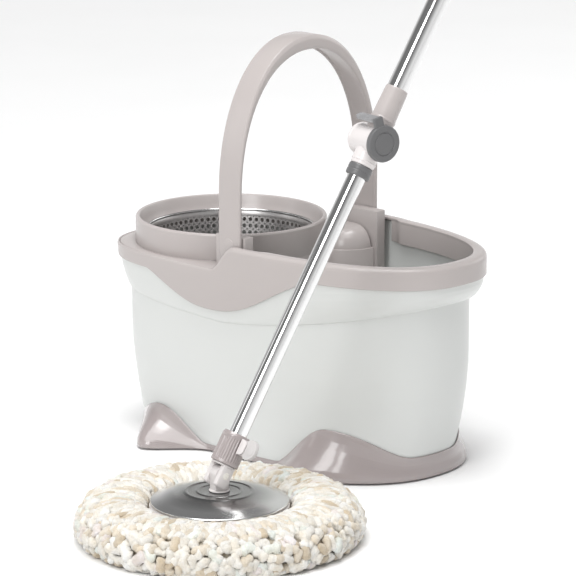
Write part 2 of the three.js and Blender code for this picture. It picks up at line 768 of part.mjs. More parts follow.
function bucket() {
  const group = new THREE.Group();
  group.add(piece("bucket_tub", bucketTub(), "white"));
  group.add(piece("rim_collar", rimCollar(), "taupe"));
  group.add(piece("basket_housing", basketHousing(), "taupe"));
  group.add(piece("base_skirt", baseSkirt(), "dark_taupe"));
  for (const [name, x, y] of FEET) {
    group.add(piece(name, rod(FOOT_RADIUS, 0, SKIRT_BOTTOM - GAP, 24).translate(x, y, 0), "rubber"));
  }
  group.add(piece("basket_pedestal", basketPedestal(), "white"));
  group.add(piece("basket_axle", rod(AXLE_RADIUS, 60.5, 166, 24).translate(RING.x, 0, 0), "steel"));
  group.add(piece("soap_tank", soapTank(), "taupe"));
  group.add(piece("soap_cap", soapCap(), "taupe"));
  group.add(piece("soap_spring", soapSpring(), "steel"));
  group.add(piece("pivot_screw_front", pivotScrew(-1), "steel"));
  group.add(piece("pivot_screw_back", pivotScrew(1), "steel"));
  group.add(piece("carry_handle", carryHandle(), "taupe"));
  group.add(piece("wringer_basket", wringerBasket(), "dark_steel"));
  group.add(piece("basket_lip", basketLip(), "steel"));
  group.add(piece("basket_hub", basketHub(), "dark_grey"));
  return group;
}

function pole() {
  const lower = new THREE.Group();
  lower.add(piece("hinge_pin", crossRod(PIN.radius, PIN.half), "steel"));
  lower.add(piece("fork_connector", forkConnector(), "white"));
  lower.add(piece("connector_sleeve", connectorSleeve(), "taupe"));
  lower.add(piece("tab_bracket", tabBracket(), "white"));
  lower.add(piece("head_lock_tab", headLockTab(), "dark_grey"));
  lower.add(piece("lower_tube", poleTube(LOWER_TUBE), "steel"));
  lower.add(piece("drive_nut", driveNut(), "white"));
  lower.add(piece("tube_seal_ring", tubeSealRing(), "dark_grey"));
  const upper = new THREE.Group();
  upper.rotation.z = degrees(BARREL_TWIST);
  upper.add(piece("lock_barrel", lockBarrel(), "white"));
  upper.add(piece("barrel_sleeve", barrelSleeve(), "taupe"));
  upper.add(piece("lock_lever", lockLever(), "dark_grey"));
  upper.add(piece("upper_tube", poleTube(UPPER_TUBE), "steel"));
  upper.add(piece("drive_screw", driveScrew(), "steel"));
  upper.add(piece("screw_plug", screwPlug(), "white"));
  upper.add(piece("hand_grip", handGrip(), "taupe"));
  upper.add(piece("end_cap", endCap(), "dark_grey"));
  lower.add(upper);
  lower.rotation.x = degrees(-LEAN);
  lower.position.z = PIN.z;
  return lower;
}

function mop() {
  const head = new THREE.Group();
  head.position.set(HEAD.x, HEAD.y, 0);
  head.add(piece("mop_pad", mopPad(), "yarn"));
  head.add(piece("yarn_carrier", yarnCarrier(), "white"));
  head.add(piece("head_plate", headPlate(), "steel"));
  const swivel = new THREE.Group();
  swivel.rotation.z = degrees(HEADING);
  swivel.add(piece("swivel_base", swivelBase(), "white"));
  swivel.add(piece("swivel_washer", swivelWasher(), "steel"));
  swivel.add(pole());
  head.add(swivel);
  return head;
}

const set = new THREE.Group();
set.add(bucket(), mop());
const bounds = new THREE.Box3().setFromObject(set, true);
const middle = bounds.getCenter(new THREE.Vector3());
set.position.set(-middle.x, -middle.y, -bounds.min.z);

const root = new THREE.Group();
root.add(set);
export default root;
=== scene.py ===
"""A spin mop and its wringing bucket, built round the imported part. Metres, +Z up."""
import json
import math
import random

import bmesh
import bpy
import numpy as np
from mathutils import Matrix, Vector, noise


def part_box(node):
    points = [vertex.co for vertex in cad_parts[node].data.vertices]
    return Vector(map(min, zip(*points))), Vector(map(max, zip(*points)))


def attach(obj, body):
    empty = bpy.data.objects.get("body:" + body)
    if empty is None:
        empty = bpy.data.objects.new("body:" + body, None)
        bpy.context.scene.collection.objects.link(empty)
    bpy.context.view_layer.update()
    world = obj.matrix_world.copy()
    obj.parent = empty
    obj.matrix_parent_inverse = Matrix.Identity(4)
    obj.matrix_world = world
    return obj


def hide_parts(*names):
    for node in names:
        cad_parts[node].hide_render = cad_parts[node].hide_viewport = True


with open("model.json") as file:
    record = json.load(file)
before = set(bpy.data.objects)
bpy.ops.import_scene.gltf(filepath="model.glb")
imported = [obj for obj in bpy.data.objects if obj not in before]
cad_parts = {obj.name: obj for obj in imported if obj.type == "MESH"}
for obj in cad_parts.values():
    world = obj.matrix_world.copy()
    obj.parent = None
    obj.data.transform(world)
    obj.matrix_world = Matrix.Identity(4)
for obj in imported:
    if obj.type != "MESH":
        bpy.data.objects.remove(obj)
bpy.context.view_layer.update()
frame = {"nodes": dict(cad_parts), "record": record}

MM = 0.001
TURN = 2 * math.pi
AROUND = 240  # steps round the bucket

# ---------- places, all taken from the frame ----------

JOINTS = {joint["name"]: joint for joint in frame["record"]["behaviour"]["joints"]}


def axes_at(origin, x_axis, z_axis):
    """A frame with its origin and two of its axes given."""
    x_axis = Vector(x_axis).normalized()
    z_axis = Vector(z_axis).normalized()
    y_axis = z_axis.cross(x_axis)
    turn = Matrix((x_axis, y_axis, z_axis)).transposed().to_4x4()
    return Matrix.Translation(Vector(origin)) @ turn


def centre_of(node):
    low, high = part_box(node)
    return (low + high) / 2


HANDLE_X = 12
handle_middle = centre_of("carry_handle")
head_middle = centre_of("mop_pad")
pin = JOINTS["pole_tilt"]["pos_m"]
pin_axis = JOINTS["pole_tilt"]["axis"]
pole_axis = -Vector(JOINTS["pole_press"]["axis"])
BUCKET = Matrix.Translation((handle_middle.x - HANDLE_X * MM, handle_middle.y, 0))
HEAD = Matrix.Translation((head_middle.x, head_middle.y, 0))
SWIVEL = axes_at((head_middle.x, head_middle.y, 0), pin_axis, (0, 0, 1))
POLE = axes_at(pin, pin_axis, pole_axis)
UPPER = axes_at(pin, JOINTS["lever_turn"]["axis"], pole_axis)

# ---------- camera ----------

AZIMUTH = 0.7612753
ELEVATION = 0.2399196
DISTANCE = 4.5
LENS = 230.41


def make_camera():
    back = Vector(
        (
            math.sin(AZIMUTH) * math.cos(ELEVATION),
            -math.cos(AZIMUTH) * math.cos(ELEVATION),
            math.sin(ELEVATION),
        )
    )
    target = BUCKET @ (Vector((-6.88352, 0, 188.28767)) * MM)
    data = bpy.data.cameras.new("camera")
    data.lens = LENS
    data.sensor_width = 36
    data.clip_end = 100
    camera = bpy.data.objects.new("camera", data)
    bpy.context.scene.collection.objects.link(camera)
    camera.location = target + back * DISTANCE
    camera.rotation_euler = (-back).to_track_quat("-Z", "Y").to_euler()
    bpy.context.scene.camera = camera


make_camera()

# ---------- materials ----------


class Finish:
    """A Principled material and short ways to add nodes to it."""

    def __init__(self, name, **sockets):
        self.material = bpy.data.materials.new(name)
        self.material.use_nodes = True
        self.nodes = self.material.node_tree.nodes
        self.links = self.material.node_tree.links
        self.shader = self.nodes["Principled BSDF"]
        for socket, value in sockets.items():
            self.shader.inputs[socket.replace("_", " ")].default_value = value
        self.place = self.node("ShaderNodeTexCoord").outputs["Object"]

    def node(self, kind, settings=None, **inputs):
        made = self.nodes.new(kind)
        for key, value in (settings or {}).items():
            setattr(made, key, value)
        for key, value in inputs.items():
            socket = made.inputs[key.replace("_", " ")]
            if isinstance(value, bpy.types.NodeSocket):
                self.links.new(value, socket)
            else:
                socket.default_value = value
        return made

    def noise(self, scale, detail=3, roughness=0.55, stretch=None, place=None):
        place = place or self.place
        if stretch:
            place = self.node("ShaderNodeMapping", Vector=place, Scale=stretch).outputs[0]
        made = self.node("ShaderNodeTexNoise", Vector=place, Scale=scale, Detail=detail, Roughness=roughness)
        return made.outputs["Fac"]

    def ramp(self, value, low, high, start=0.3, end=0.7):
        """value from start to end becomes low to high."""
        ends = {"From_Min": start, "From_Max": end, "To_Min": low, "To_Max": high}
        made = self.node("ShaderNodeMapRange", Value=value, **ends)
        return made.outputs["Result"]

    def mix(self, factor, first, second, blend="MIX"):
        made = self.nodes.new("ShaderNodeMix")
        made.data_type = "RGBA"
        made.blend_type = blend
        for index, value in ((0, factor), (6, first), (7, second)):
            if isinstance(value, bpy.types.NodeSocket):
                self.links.new(value, made.inputs[index])
            else:
                made.inputs[index].default_value = value
        return made.outputs[2]

    def bump(self, height, strength, distance, after=None):
        made = self.node("ShaderNodeBump", Height=height, Strength=strength, Distance=distance)
        if after:
            self.links.new(after, made.inputs["Normal"])
        return made.outputs["Normal"]

    def drive(self, socket, value):
        self.links.new(value, self.shader.inputs[socket])


def rgb(red, green, blue):
    """A display colour from 0 to 255 as a linear one."""
    return tuple(((value / 255) ** 2.2) for value in (red, green, blue)) + (1,)


def shade(colour, factor):
    return tuple(channel * factor for channel in colour[:3]) + (1,)


def plastic(name, colour, roughness, grain=0.12, coat=0.0):
    """Moulded plastic: faint mottling, uneven gloss, very fine grain and a soft waviness."""
    finish = Finish(name, Coat_Weight=coat, Coat_Roughness=0.08)
    mottle = finish.ramp(finish.noise(7, 3), 0, 1)
    finish.drive("Base Color", finish.mix(mottle, shade(colour, 0.995), shade(colour, 1.004)))
    gloss = finish.ramp(finish.noise(40, 4), roughness * 0.95, roughness * 1.06)
    finish.drive("Roughness", gloss)
    wave = finish.bump(finish.noise(6, 1), 0.03, 0.003)
    finish.drive("Normal", finish.bump(finish.noise(1400, 2), grain, 0.00006, wave))
    return finish.material


def rubber(name, colour):
    finish = Finish(name, Specular_IOR_Level=0.3)
    speckle = finish.ramp(finish.noise(260, 4), 0, 1)
    finish.drive("Base Color", finish.mix(speckle, shade(colour, 0.8), shade(colour, 1.15)))
    finish.drive("Roughness", finish.ramp(finish.noise(120, 3), 0.65, 0.9))
    finish.drive("Normal", finish.bump(finish.noise(900, 3), 0.35, 0.0003))
    return finish.material


def steel(name, colour, roughness, stretch, scratch=0.12):
    """Steel brushed along the axis that stretch leaves short."""
    finish = Finish(name, Metallic=1.0)
    lines = finish.noise(1, 4, 0.7, stretch)
    broad = finish.noise(30, 3)
    tone = finish.ramp(lines, 0, 1)
    finish.drive("Base Color", finish.mix(tone, shade(colour, 0.93), shade(colour, 1.04)))
    uneven = finish.node("ShaderNodeMath", {"operation": "ADD"})
    finish.links.new(finish.ramp(lines, -0.03, 0.03), uneven.inputs[0])
    finish.links.new(finish.ramp(broad, roughness * 0.85, roughness * 1.2), uneven.inputs[1])
    finish.drive("Roughness", uneven.outputs[0])
    finish.drive("Normal", finish.bump(lines, scratch, 0.00006))
    return finish.material


def turned_steel(name, colour, roughness):
    """Steel brushed in circles round the piece's own axis, as a spun plate is, with a painted dark
    reflection in its middle.
    """
    finish = Finish(name, Metallic=1.0, Anisotropic=0.55)
    split = finish.node("ShaderNodeSeparateXYZ", Vector=finish.place)
    flat = finish.node("ShaderNodeCombineXYZ", X=split.outputs[0], Y=split.outputs[1])
    radius = finish.node("ShaderNodeVectorMath", {"operation": "LENGTH"})
    finish.links.new(flat.outputs[0], radius.inputs[0])
    arc = finish.node("ShaderNodeMath", {"operation": "ARCTAN2"})
    finish.links.new(split.outputs[1], arc.inputs[0])
    finish.links.new(split.outputs[0], arc.inputs[1])
    polar = finish.node("ShaderNodeCombineXYZ", X=radius.outputs["Value"], Y=arc.outputs[0])
    rings = finish.noise(1, 4, 0.7, (2600, 2.2, 1), polar.outputs[0])
    brushed = finish.mix(finish.ramp(rings, 0, 1), shade(colour, 0.96), shade(colour, 1.02))
    # painted dark reflection: the colour darkens to 0.42 inside 40 mm of the axis, fading out by 66 mm
    painted_dark_reflection = finish.ramp(radius.outputs["Value"], 0, 1, 0.040, 0.066)
    finish.drive("Base Color", finish.mix(painted_dark_reflection, shade(colour, 0.42), brushed))
    finish.drive("Roughness", finish.ramp(rings, roughness * 0.85, roughness * 1.2))
    finish.drive("Normal", finish.bump(rings, 0.05, 0.00003))
    tangent = finish.node("ShaderNodeTangent", {"direction_type": "RADIAL", "axis": "Z"})
    finish.drive("Tangent", tangent.outputs[0])
    return finish.material


def yarn_material():
    """Chenille yarn: each tuft has its own tint, with blotches, fuzz and a soft sheen."""
    finish = Finish("yarn", Roughness=0.95, Sheen_Weight=0.35, Sheen_Roughness=0.6, Specular_IOR_Level=0.2)
    tint = finish.node("ShaderNodeAttribute", {"attribute_name": "tint"}).outputs["Color"]
    blotch = finish.ramp(finish.noise(85, 3), 0, 1, 0.38, 0.66)
    warm = finish.mix(blotch, (0.86, 0.79, 0.68, 1), (1, 1, 1, 1))
    toned = finish.mix(0.7, tint, warm, "MULTIPLY")
    fibre = finish.ramp(finish.noise(700, 4, 0.7), 0.86, 1.05)
    grey = finish.node("ShaderNodeCombineColor", Red=fibre, Green=fibre, Blue=fibre).outputs[0]
    finish.drive("Base Color", finish.mix(1.0, toned, grey, "MULTIPLY"))
    fuzz = finish.bump(finish.noise(900, 4, 0.75), 0.75, 0.0012)
    finish.drive("Normal", finish.bump(finish.noise(260, 3, 0.6), 0.65, 0.0025, fuzz))
    return finish.material


def clear_grey():
    """The lever's translucent grip."""
    finish = Finish("smoky_plastic", Transmission_Weight=0.35, IOR=1.45)
    cloud = finish.ramp(finish.noise(60, 3), 0, 1)
    finish.drive("Base Color", finish.mix(cloud, rgb(150, 150, 152), rgb(178, 178, 180)))
    finish.drive("Roughness", finish.ramp(finish.noise(90, 4), 0.16, 0.28))
    finish.drive("Normal", finish.bump(finish.noise(1200, 2), 0.1, 0.0001))
    return finish.material


TAUPE = plastic("taupe_plastic", rgb(178, 171, 169), 0.24, 0.03)
DARK_TAUPE = plastic("dark_taupe_plastic", rgb(158, 149, 148), 0.17, 0.04, coat=0.6)
WHITE = plastic("white_plastic", rgb(206, 208, 206), 0.3, 0.02)
SHELL = plastic("mop_white_plastic", rgb(216, 211, 210), 0.28, 0.04, coat=0.15)
GREY = plastic("dark_grey_plastic", rgb(102, 102, 103), 0.36)
RUBBER = rubber("foot_rubber", rgb(84, 82, 82))
TUBE_STEEL = steel("polished_steel", (0.82, 0.82, 0.82), 0.1, (1500, 1500, 12), 0.08)
BASKET_STEEL = steel("basket_steel", (0.58, 0.565, 0.56), 0.34, (900, 900, 40), 0.2)
PALE_GREY = plastic("pale_grey_plastic", rgb(196, 193, 192), 0.3, 0.04, coat=0.2)
LIP_STEEL = steel("lip_steel", (0.82, 0.82, 0.82), 0.14, (900, 900, 60), 0.05)
PLATE_STEEL = turned_steel("plate_steel", (0.76, 0.76, 0.76), 0.2)
YARN = yarn_material()
SMOKE = clear_grey()

# ---------- shapes ----------


def mesh_piece(name, shape, material, place, body, nodes=(), sharp=38):
    """Makes one piece from (points in millimetres, faces) and ties it to its body."""
    points, faces = shape
    mesh = bpy.data.meshes.new(name)
    mesh.from_pydata([tuple(point) for point in np.asarray(points) * MM], [], faces)
    bm = bmesh.new()
    bm.from_mesh(mesh)
    bmesh.ops.remove_doubles(bm, verts=bm.verts, dist=2e-6)
    bmesh.ops.dissolve_degenerate(bm, edges=bm.edges, dist=1e-7)
    bmesh.ops.recalc_face_normals(bm, faces=bm.faces)
    bm.to_mesh(mesh)
    bm.free()
    mesh.shade_smooth()
    mesh.set_sharp_from_angle(angle=math.radians(sharp))
    mesh.materials.append(material)
    made = bpy.data.objects.new(name, mesh)
    bpy.context.scene.collection.objects.link(made)
    made.matrix_world = place
    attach(made, body)
    if nodes:
        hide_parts(*nodes)
    return made


def together(*shapes):
    """Several shapes as one."""
    points, faces = [], []
    for shape_points, shape_faces in shapes:
        start = len(points)
        points.extend(np.asarray(shape_points).tolist())
        faces.extend(tuple(index + start for index in face) for face in shape_faces)
    return points, faces


def moved(shape, change):
    """The shape with change(points) applied."""
    points, faces = shape
    return change(np.asarray(points, float)), faces


def about_x(points):
    """A shape made about Z, laid along X."""
    return points[:, [2, 0, 1]]


def soften(points, radius, steps=3, closed=True, always=False):
    """Rounds a line's corners. Points on a lathe's axis stay."""
    line = [np.array(point, float) for point in points]
    last = len(line) - 1
    out = []
    for i, point in enumerate(line):
        before, after = line[i - 1], line[(i + 1) % len(line)]
        back, ahead = np.linalg.norm(before - point), np.linalg.norm(after - point)
        fixed = (not closed and i in (0, last)) or (not always and point[0] == 0)
        if fixed or min(back, ahead) < 1e-9:
            out.extend([point] * (steps + 1 if always and closed else 1))
            continue
        toward, onward = (before - point) / back, (after - point) / ahead
        if not always and -toward @ onward > 0.97:
            out.append(point)
            continue
        cut = min(radius, 0.42 * back, 0.42 * ahead)
        first, second = point + toward * cut, point + onward * cut
        for k in range(steps + 1):
            t = k / steps
            out.append((1 - t) ** 2 * first + 2 * t * (1 - t) * point + t * t * second)
    return out


def loft(rows, wrap_rows=True, wrap_line=True, caps=False):
    """A skin over rows of points."""
    rows = np.asarray(rows, float)
    count, size = rows.shape[:2]
    faces = []
    for i in range(count if wrap_rows else count - 1):
        for j in range(size if wrap_line else size - 1):
            following, beside = (i + 1) % count, (j + 1) % size
            faces.append(
                (i * size + j, i * size + beside, following * size + beside, following * size + j)
            )
    if caps:
        faces.append(tuple(range(size)))
        faces.append(tuple((count - 1) * size + j for j in range(size)))
    return rows.reshape(-1, 3), faces


def lathe(profile, sides=96, radius=0.6, closed=True, start=0.0, end=TURN):
    """Turns a closed profile of (radius, height) about Z, all the way or from start to end."""
    line = np.array(soften(profile, radius, closed=closed))
    full = abs(end - start - TURN) < 1e-9
    steps = sides if full else sides + 1
    angles = start + (end - start) * np.arange(steps) / sides
    rows = [
        np.column_stack([line[:, 0] * math.cos(a), line[:, 0] * math.sin(a), line[:, 1]]) for a in angles
    ]
    return loft(rows, wrap_rows=full, wrap_line=closed, caps=not full)


def prism(outline, low, high, bevel=0.8):
    """An outline in X and Y, extruded along Z with rounded edges."""
    outline = np.array(outline, float)
    ahead = np.roll(outline, -1, axis=0) - outline
    ahead /= np.linalg.norm(ahead, axis=1)[:, None]
    side = np.column_stack([ahead[:, 1], -ahead[:, 0]])
    out = side + np.roll(side, 1, axis=0)
    out /= np.maximum(np.linalg.norm(out, axis=1), 0.3)[:, None]
    area = np.sum(outline[:, 0] * np.roll(outline[:, 1], -1) - np.roll(outline[:, 0], -1) * outline[:, 1])
    out *= math.copysign(1, area)
    rows = []
    for z, inset in (
        (low, bevel),
        (low + 0.3 * bevel, 0.3 * bevel),
        (low + bevel, 0),
        (high - bevel, 0),
        (high - 0.3 * bevel, 0.3 * bevel),
        (high, bevel),
    ):
        ring = outline - out * inset
        rows.append(np.column_stack([ring, np.full(len(ring), z)]))
    return loft(rows, wrap_rows=False, caps=True)


def block(low, high, bevel=1.0, corner=1.5):
    """A box with rounded corners."""
    outline = [(low[0], low[1]), (high[0], low[1]), (high[0], high[1]), (low[0], high[1])]
    return prism(soften(outline, corner, 4, always=True), low[2], high[2], bevel)


def arc(centre, radius, start, end, steps=16):
    """Points of an arc, in degrees."""
    return [
        (centre[0] + radius * math.cos(a), centre[1] + radius * math.sin(a))
        for a in np.radians(np.linspace(start, end, steps))
    ]


def sweep(path, radii, sides=10, closed=False, squash=1.0):
    """A round tube of changing radius along a path."""
    path = np.asarray(path, float)
    if closed:
        heading = np.roll(path, -1, axis=0) - np.roll(path, 1, axis=0)
    else:
        heading = np.gradient(path, axis=0)
    heading /= np.maximum(np.linalg.norm(heading, axis=1), 1e-9)[:, None]
    guide = np.array([0.12, 0.23, 0.965])
    if abs(heading[0] @ guide) > 0.9:
        guide = np.array([0.96, 0.2, 0.1])
    rows = []
    angles = TURN * np.arange(sides) / sides
    side = np.cross(heading[0], guide)
    for point, ahead, radius in zip(path, heading, radii):
        side = side - (side @ ahead) * ahead
        side /= np.linalg.norm(side)
        up = np.cross(ahead, side)
        ring = [point + radius * (math.cos(a) * side + squash * math.sin(a) * up) for a in angles]
        rows.append(ring)
    return loft(rows, wrap_rows=closed, caps=not closed)


# ---------- the bucket's curves, in millimetres ----------

RIM = {"x0": -5.35, "right": 282.4, "left": 219.7, "side": 134, "powers": (2.42, 3.74)}
FOOTPRINT = {"x0": -25, "right": 267, "left": 205, "side": 156, "powers": (2.3, 2.3)}
LEFT_FOOT = {"x0": -25, "right": 150, "left": 150, "side": 184, "powers": (2.3, 2.3)}
RIM_TOP, LEDGE_TOP, COLLAR_BOTTOM = 266, 235, 240
LEDGE_BOTTOM, WAVE_BOTTOM = 218, 184
TUB_BOTTOM, TUB_FLOOR, TUB_WALL = 6, 10, 3
SKIRT_BOTTOM = 2.5


def lerp(a, b, u):
    return a + (b - a) * u


def ease(x, low, high):
    u = min(max((x - low) / (high - low), 0), 1)
    return u * u * (3 - 2 * u)


def plan(curve, t, ratio=1.0, outwards=0.0):
    forward = math.cos(t) >= 0
    length = curve["right"] if forward else curve["left"]
    power = curve["powers"][0 if forward else 1]
    angle = math.atan2(curve["side"] * math.sin(t), length * math.cos(t))
    along = abs(math.cos(angle) / length) ** power + abs(math.sin(angle) / curve["side"]) ** power
    radius = ratio * along ** (-1 / power) + outwards
    return curve["x0"] + radius * math.cos(angle), radius * math.sin(angle)


def collar_top(x):
    return lerp(LEDGE_TOP, RIM_TOP, ease(x, -8, 26))


def collar_width(x):
    return lerp(3.2, 11, ease(x, 8, 22)) + lerp(0, 7, ease(x, 62, 84))


def wave_edge(x):
    if x < -18:
        u = min((-18 - x) / 102, 1)
        return lerp(WAVE_BOTTOM, LEDGE_BOTTOM, u**2.4 * (1 + 1.3 * (1 - u)))
    u = min(max((x + 14) / 167, 0), 1)
    return lerp(WAVE_BOTTOM, COLLAR_BOTTOM, ease(u**1.25, 0, 1))


def shoulder_edge(x):
    return 169.5 + 14 * (-x / 225) ** 1.3 if x < 0 else 169.5 + 43 * (x / 277) ** 1.35


def wall_ratio(z):
    return 0.917 - 0.063 * (max(135 - z, 0) / 110) ** 1.6


def wall_point(t, z, outwards):
    return (*plan(RIM, t, wall_ratio(z), outwards), z)


def bowl_point(t, z, outwards):
    edge = shoulder_edge(plan(RIM, t)[0])
    u = min(max((z - edge) / (COLLAR_BOTTOM - edge), 0), 1)
    rise = 1 - (1 - u) ** 2.2
    return (*plan(RIM, t, 0.93 + 0.07 * rise, outwards - 3.2 * rise), z)


def round_bucket(section, radius=0.8, steps=3, closed=True):
    """A skin round the bucket from its section at each step, with the section's corners rounded."""
    rows = []
    for i in range(AROUND):
        t = TURN * i / AROUND - math.pi / 2
        rows.append(soften(section(t), radius, steps, closed, always=True))
    return loft(rows, wrap_line=closed)


# ---------- bucket ----------


def tub_section(t):
    x = plan(RIM, t)[0]
    edge = shoulder_edge(x)
    top = collar_top(x) - 6.5
    heights = [lerp(edge + 1.5, top, u) for u in (0.05, 0.12, 0.2, 0.3, 0.42, 0.56, 0.72, 0.86, 1)]
    walls = [lerp(TUB_BOTTOM + 2, edge, u) for u in (0, 0.04, 0.12, 0.22, 0.34, 0.46, 0.6, 0.75, 0.97, 1)]
    outer = [
        (*plan(RIM, t, 0.02), TUB_BOTTOM),
        (*plan(RIM, t, 0.82), TUB_BOTTOM),
        *[wall_point(t, z, 0) for z in walls],
        (*plan(RIM, t, 0.93), edge + 0.8),
        *[bowl_point(t, z, 0) for z in heights],
    ]
    inner = [
        *[bowl_point(t, z, -TUB_WALL) for z in reversed(heights)],
        (*plan(RIM, t, 0.93, -TUB_WALL - 0.4), edge + 2.4),
        *[wall_point(t, z - 1, -TUB_WALL) for z in reversed(walls[2:])],
        (*plan(RIM, t, 0.79), TUB_FLOOR),
        (*plan(RIM, t, 0.02), TUB_FLOOR),
    ]
    return outer + inner


def collar_section(t):
    x = plan(RIM, t)[0]
    top, width = collar_top(x), collar_width(x)
    heights = [lerp(wave_edge(x), top - 7, u) for u in (0, 0.08, 0.2, 0.35, 0.5, 0.65, 0.8, 0.92, 1)]
    return [
        *[bowl_point(t, z, 3.2) for z in heights],
        (*plan(RIM, t, 1, -0.03 * width), top - 3.6),
        (*plan(RIM, t, 1, -0.12 * width), top - 1.7),
        (*plan(RIM, t, 1, -0.3 * width), top - 0.4),
        (*plan(RIM, t, 1, -0.55 * width), top),
        (*plan(RIM, t, 1, -0.82 * width), top - 0.1),
        (*plan(RIM, t, 1, -width), top - 1.1),
        (*plan(RIM, t, 1, -width), top - 4),
        (*plan(RIM, t, 1, -2.8), top - 4.2),
        *[bowl_point(t, z, 0.4) for z in reversed(heights)],
    ]


def inner_lip():
    """The lip that hangs inside the water side, from the back tower round the nose."""
    rows = []
    for t in np.linspace(-1.353, 1.353, 161):
        inset = max(collar_width(plan(RIM, t)[0]), 11)
        line = [
            (*plan(RIM, t, 1, 3 - inset), 236),
            (*plan(RIM, t, 1, 3 - inset), RIM_TOP - 3),
            (*plan(RIM, t, 1, 0.2 - inset), RIM_TOP - 1),
            (*plan(RIM, t, 1, 0.2 - inset), 236),
        ]
        rows.append(soften(line, 0.9, always=True))
    return loft(rows, wrap_rows=False, caps=True)


RIGHT_LOBE = {"centre": 54, "peak": 60, "to_nose": 37, "to_side": 19, "nose": 28, "side": 4, "bulge": 1}
LEFT_LOBE = {"centre": 120, "peak": 44, "to_nose": 28, "to_side": 24, "nose": 5, "side": 4, "bulge": 0.55}


def corner_lobe(t):
    """The four lobes of the base: how high the skirt is here, and its foot on the floor."""
    angle = math.degrees(abs(math.atan2(math.sin(t), math.cos(t))))
    right = angle < 90
    corner = RIGHT_LOBE if right else LEFT_LOBE
    nose_side = angle < corner["centre"] if right else angle > corner["centre"]
    reach = corner["to_nose"] if nose_side else corner["to_side"]
    u = min(abs(angle - corner["centre"]) / reach, 1)
    swell = (1 + math.cos(math.pi * u)) / 2
    height = lerp(corner["nose"] if nose_side else corner["side"], corner["peak"], swell)
    wide = plan(FOOTPRINT if right else LEFT_FOOT, t)
    narrow = plan(RIM, t, 0.835, 3.5)
    spread = 1 if right and nose_side else swell
    foot = (lerp(narrow[0], wide[0], spread), lerp(narrow[1], wide[1], spread))
    return height, foot, corner["bulge"]


FLARE_UP = (0, 0.05, 0.13, 0.24, 0.35, 0.5, 0.65, 0.8, 0.9, 1)
FLARE_OUT = (0.965, 0.995, 0.985, 0.92, 0.8, 0.59, 0.38, 0.2, 0.085, 0)


def skirt_section(t):
    height, foot, bulge = corner_lobe(t)
    flares = []
    for u, out in zip(FLARE_UP, FLARE_OUT):
        z = lerp(SKIRT_BOTTOM, height, u)
        wall, out = wall_point(t, z, 2.2), out**bulge
        flares.append((lerp(wall[0], foot[0], out), lerp(wall[1], foot[1], out), z))
    low = TUB_BOTTOM + 2
    behind = [lerp(max(height, low + 1.5), low, u) for u in (0.35, 0.7, 1)]
    return [
        (*plan(RIM, t, 0.5), SKIRT_BOTTOM),
        *flares,
        wall_point(t, height + 0.8, 0.7),
        *[wall_point(t, z, 0.3) for z in behind],
        (*plan(RIM, t, 0.821, 0.3), TUB_BOTTOM - 0.3),
        (*plan(RIM, t, 0.5), TUB_BOTTOM - 0.3),
    ]


RING_X, RING_R, THROAT_R = -103.4, 118, 106.6


def ring_shape():
    """The round wall and funnel above the basket, and its deeper wall on the water side."""
    funnel = [
        (114.5, 231), (RING_R, 231), (RING_R, 264.5), (116.8, 266.5), (115, 267), (113, 266.2),
        (111.2, 261.5), (109.6, 256.5), (108.4, 252.5), (THROAT_R, 248.5), (THROAT_R, 240),
    ]
    wall = [(114.6, 190), (117.9, 190), (117.9, 232), (114.6, 232)]
    start = math.acos((-95 - RING_X) / RING_R)
    low = lathe(wall, 96, 0.8, start=-start, end=start)
    return together(lathe(funnel, 192, 0.5), low)


def rim_reach(angle):
    """How far the rim is from the ring's middle in a direction."""
    low, high = 100.0, 420.0
    for _ in range(40):
        middle = (low + high) / 2
        x, y = RING_X + middle * math.cos(angle), middle * math.sin(angle)
        along = math.atan2(y, x - RIM["x0"])
        length = RIM["right"] if math.cos(along) >= 0 else RIM["left"]
        power = RIM["powers"][0 if math.cos(along) >= 0 else 1]
        size = abs(math.cos(along) / length) ** power + abs(math.sin(along) / RIM["side"]) ** power
        if math.hypot(x - RIM["x0"], y) < size ** (-1 / power) - 3.7:
            low = middle
        else:
            high = middle
    return low


def deck_shape():
    """The flat ledge between the ring and the rim."""
    rows = []
    for angle in np.radians(np.linspace(46.2, 313.8, 200)):
        near, far = 118.0, rim_reach(angle)
        if math.cos(angle) > 0:
            near = max(near, 98 / abs(math.sin(angle)))
            far = min(far, 94.4 / math.cos(angle))
        far = max(far, near + 0.05)
        line = [(near, 231.2), (far, 231.2), (far, 234.7), (near, 234.7)]
        line = soften(line, 0.6, 2, always=True)
        rows.append([(RING_X + r * math.cos(angle), r * math.sin(angle), z) for r, z in line])
    return loft(rows, wrap_rows=False, caps=True)


def at_ring(shape):
    return moved(shape, lambda points: points + np.array([RING_X, 0, 0]))


PERFORATION = {"columns": 82, "rows": 10, "low": 153.5, "high": 241.5, "radius": 2.45}


def basket_radius(z):
    return lerp(90, 103, (z - 156) / (244 - 156)) if z > 156 else 88.8


def hole_cell(corners, centre, radius, steps=16):
    """Grid cell with a round hole: rings of (u, v) points on the square and on the hole."""
    (u0, v0), (u1, v1) = corners
    square, circle = [], []
    for k in range(steps):
        a = TURN * (k + 0.5) / steps
        reach = 1 / max(abs(math.cos(a)), abs(math.sin(a)))
        square.append(
            (
                centre[0] + reach * math.cos(a) * (u1 - u0) / 2,
                centre[1] + reach * math.sin(a) * (v1 - v0) / 2,
            )
        )
        circle.append((centre[0] + radius[0] * math.cos(a), centre[1] + radius[1] * math.sin(a)))
    return square, circle


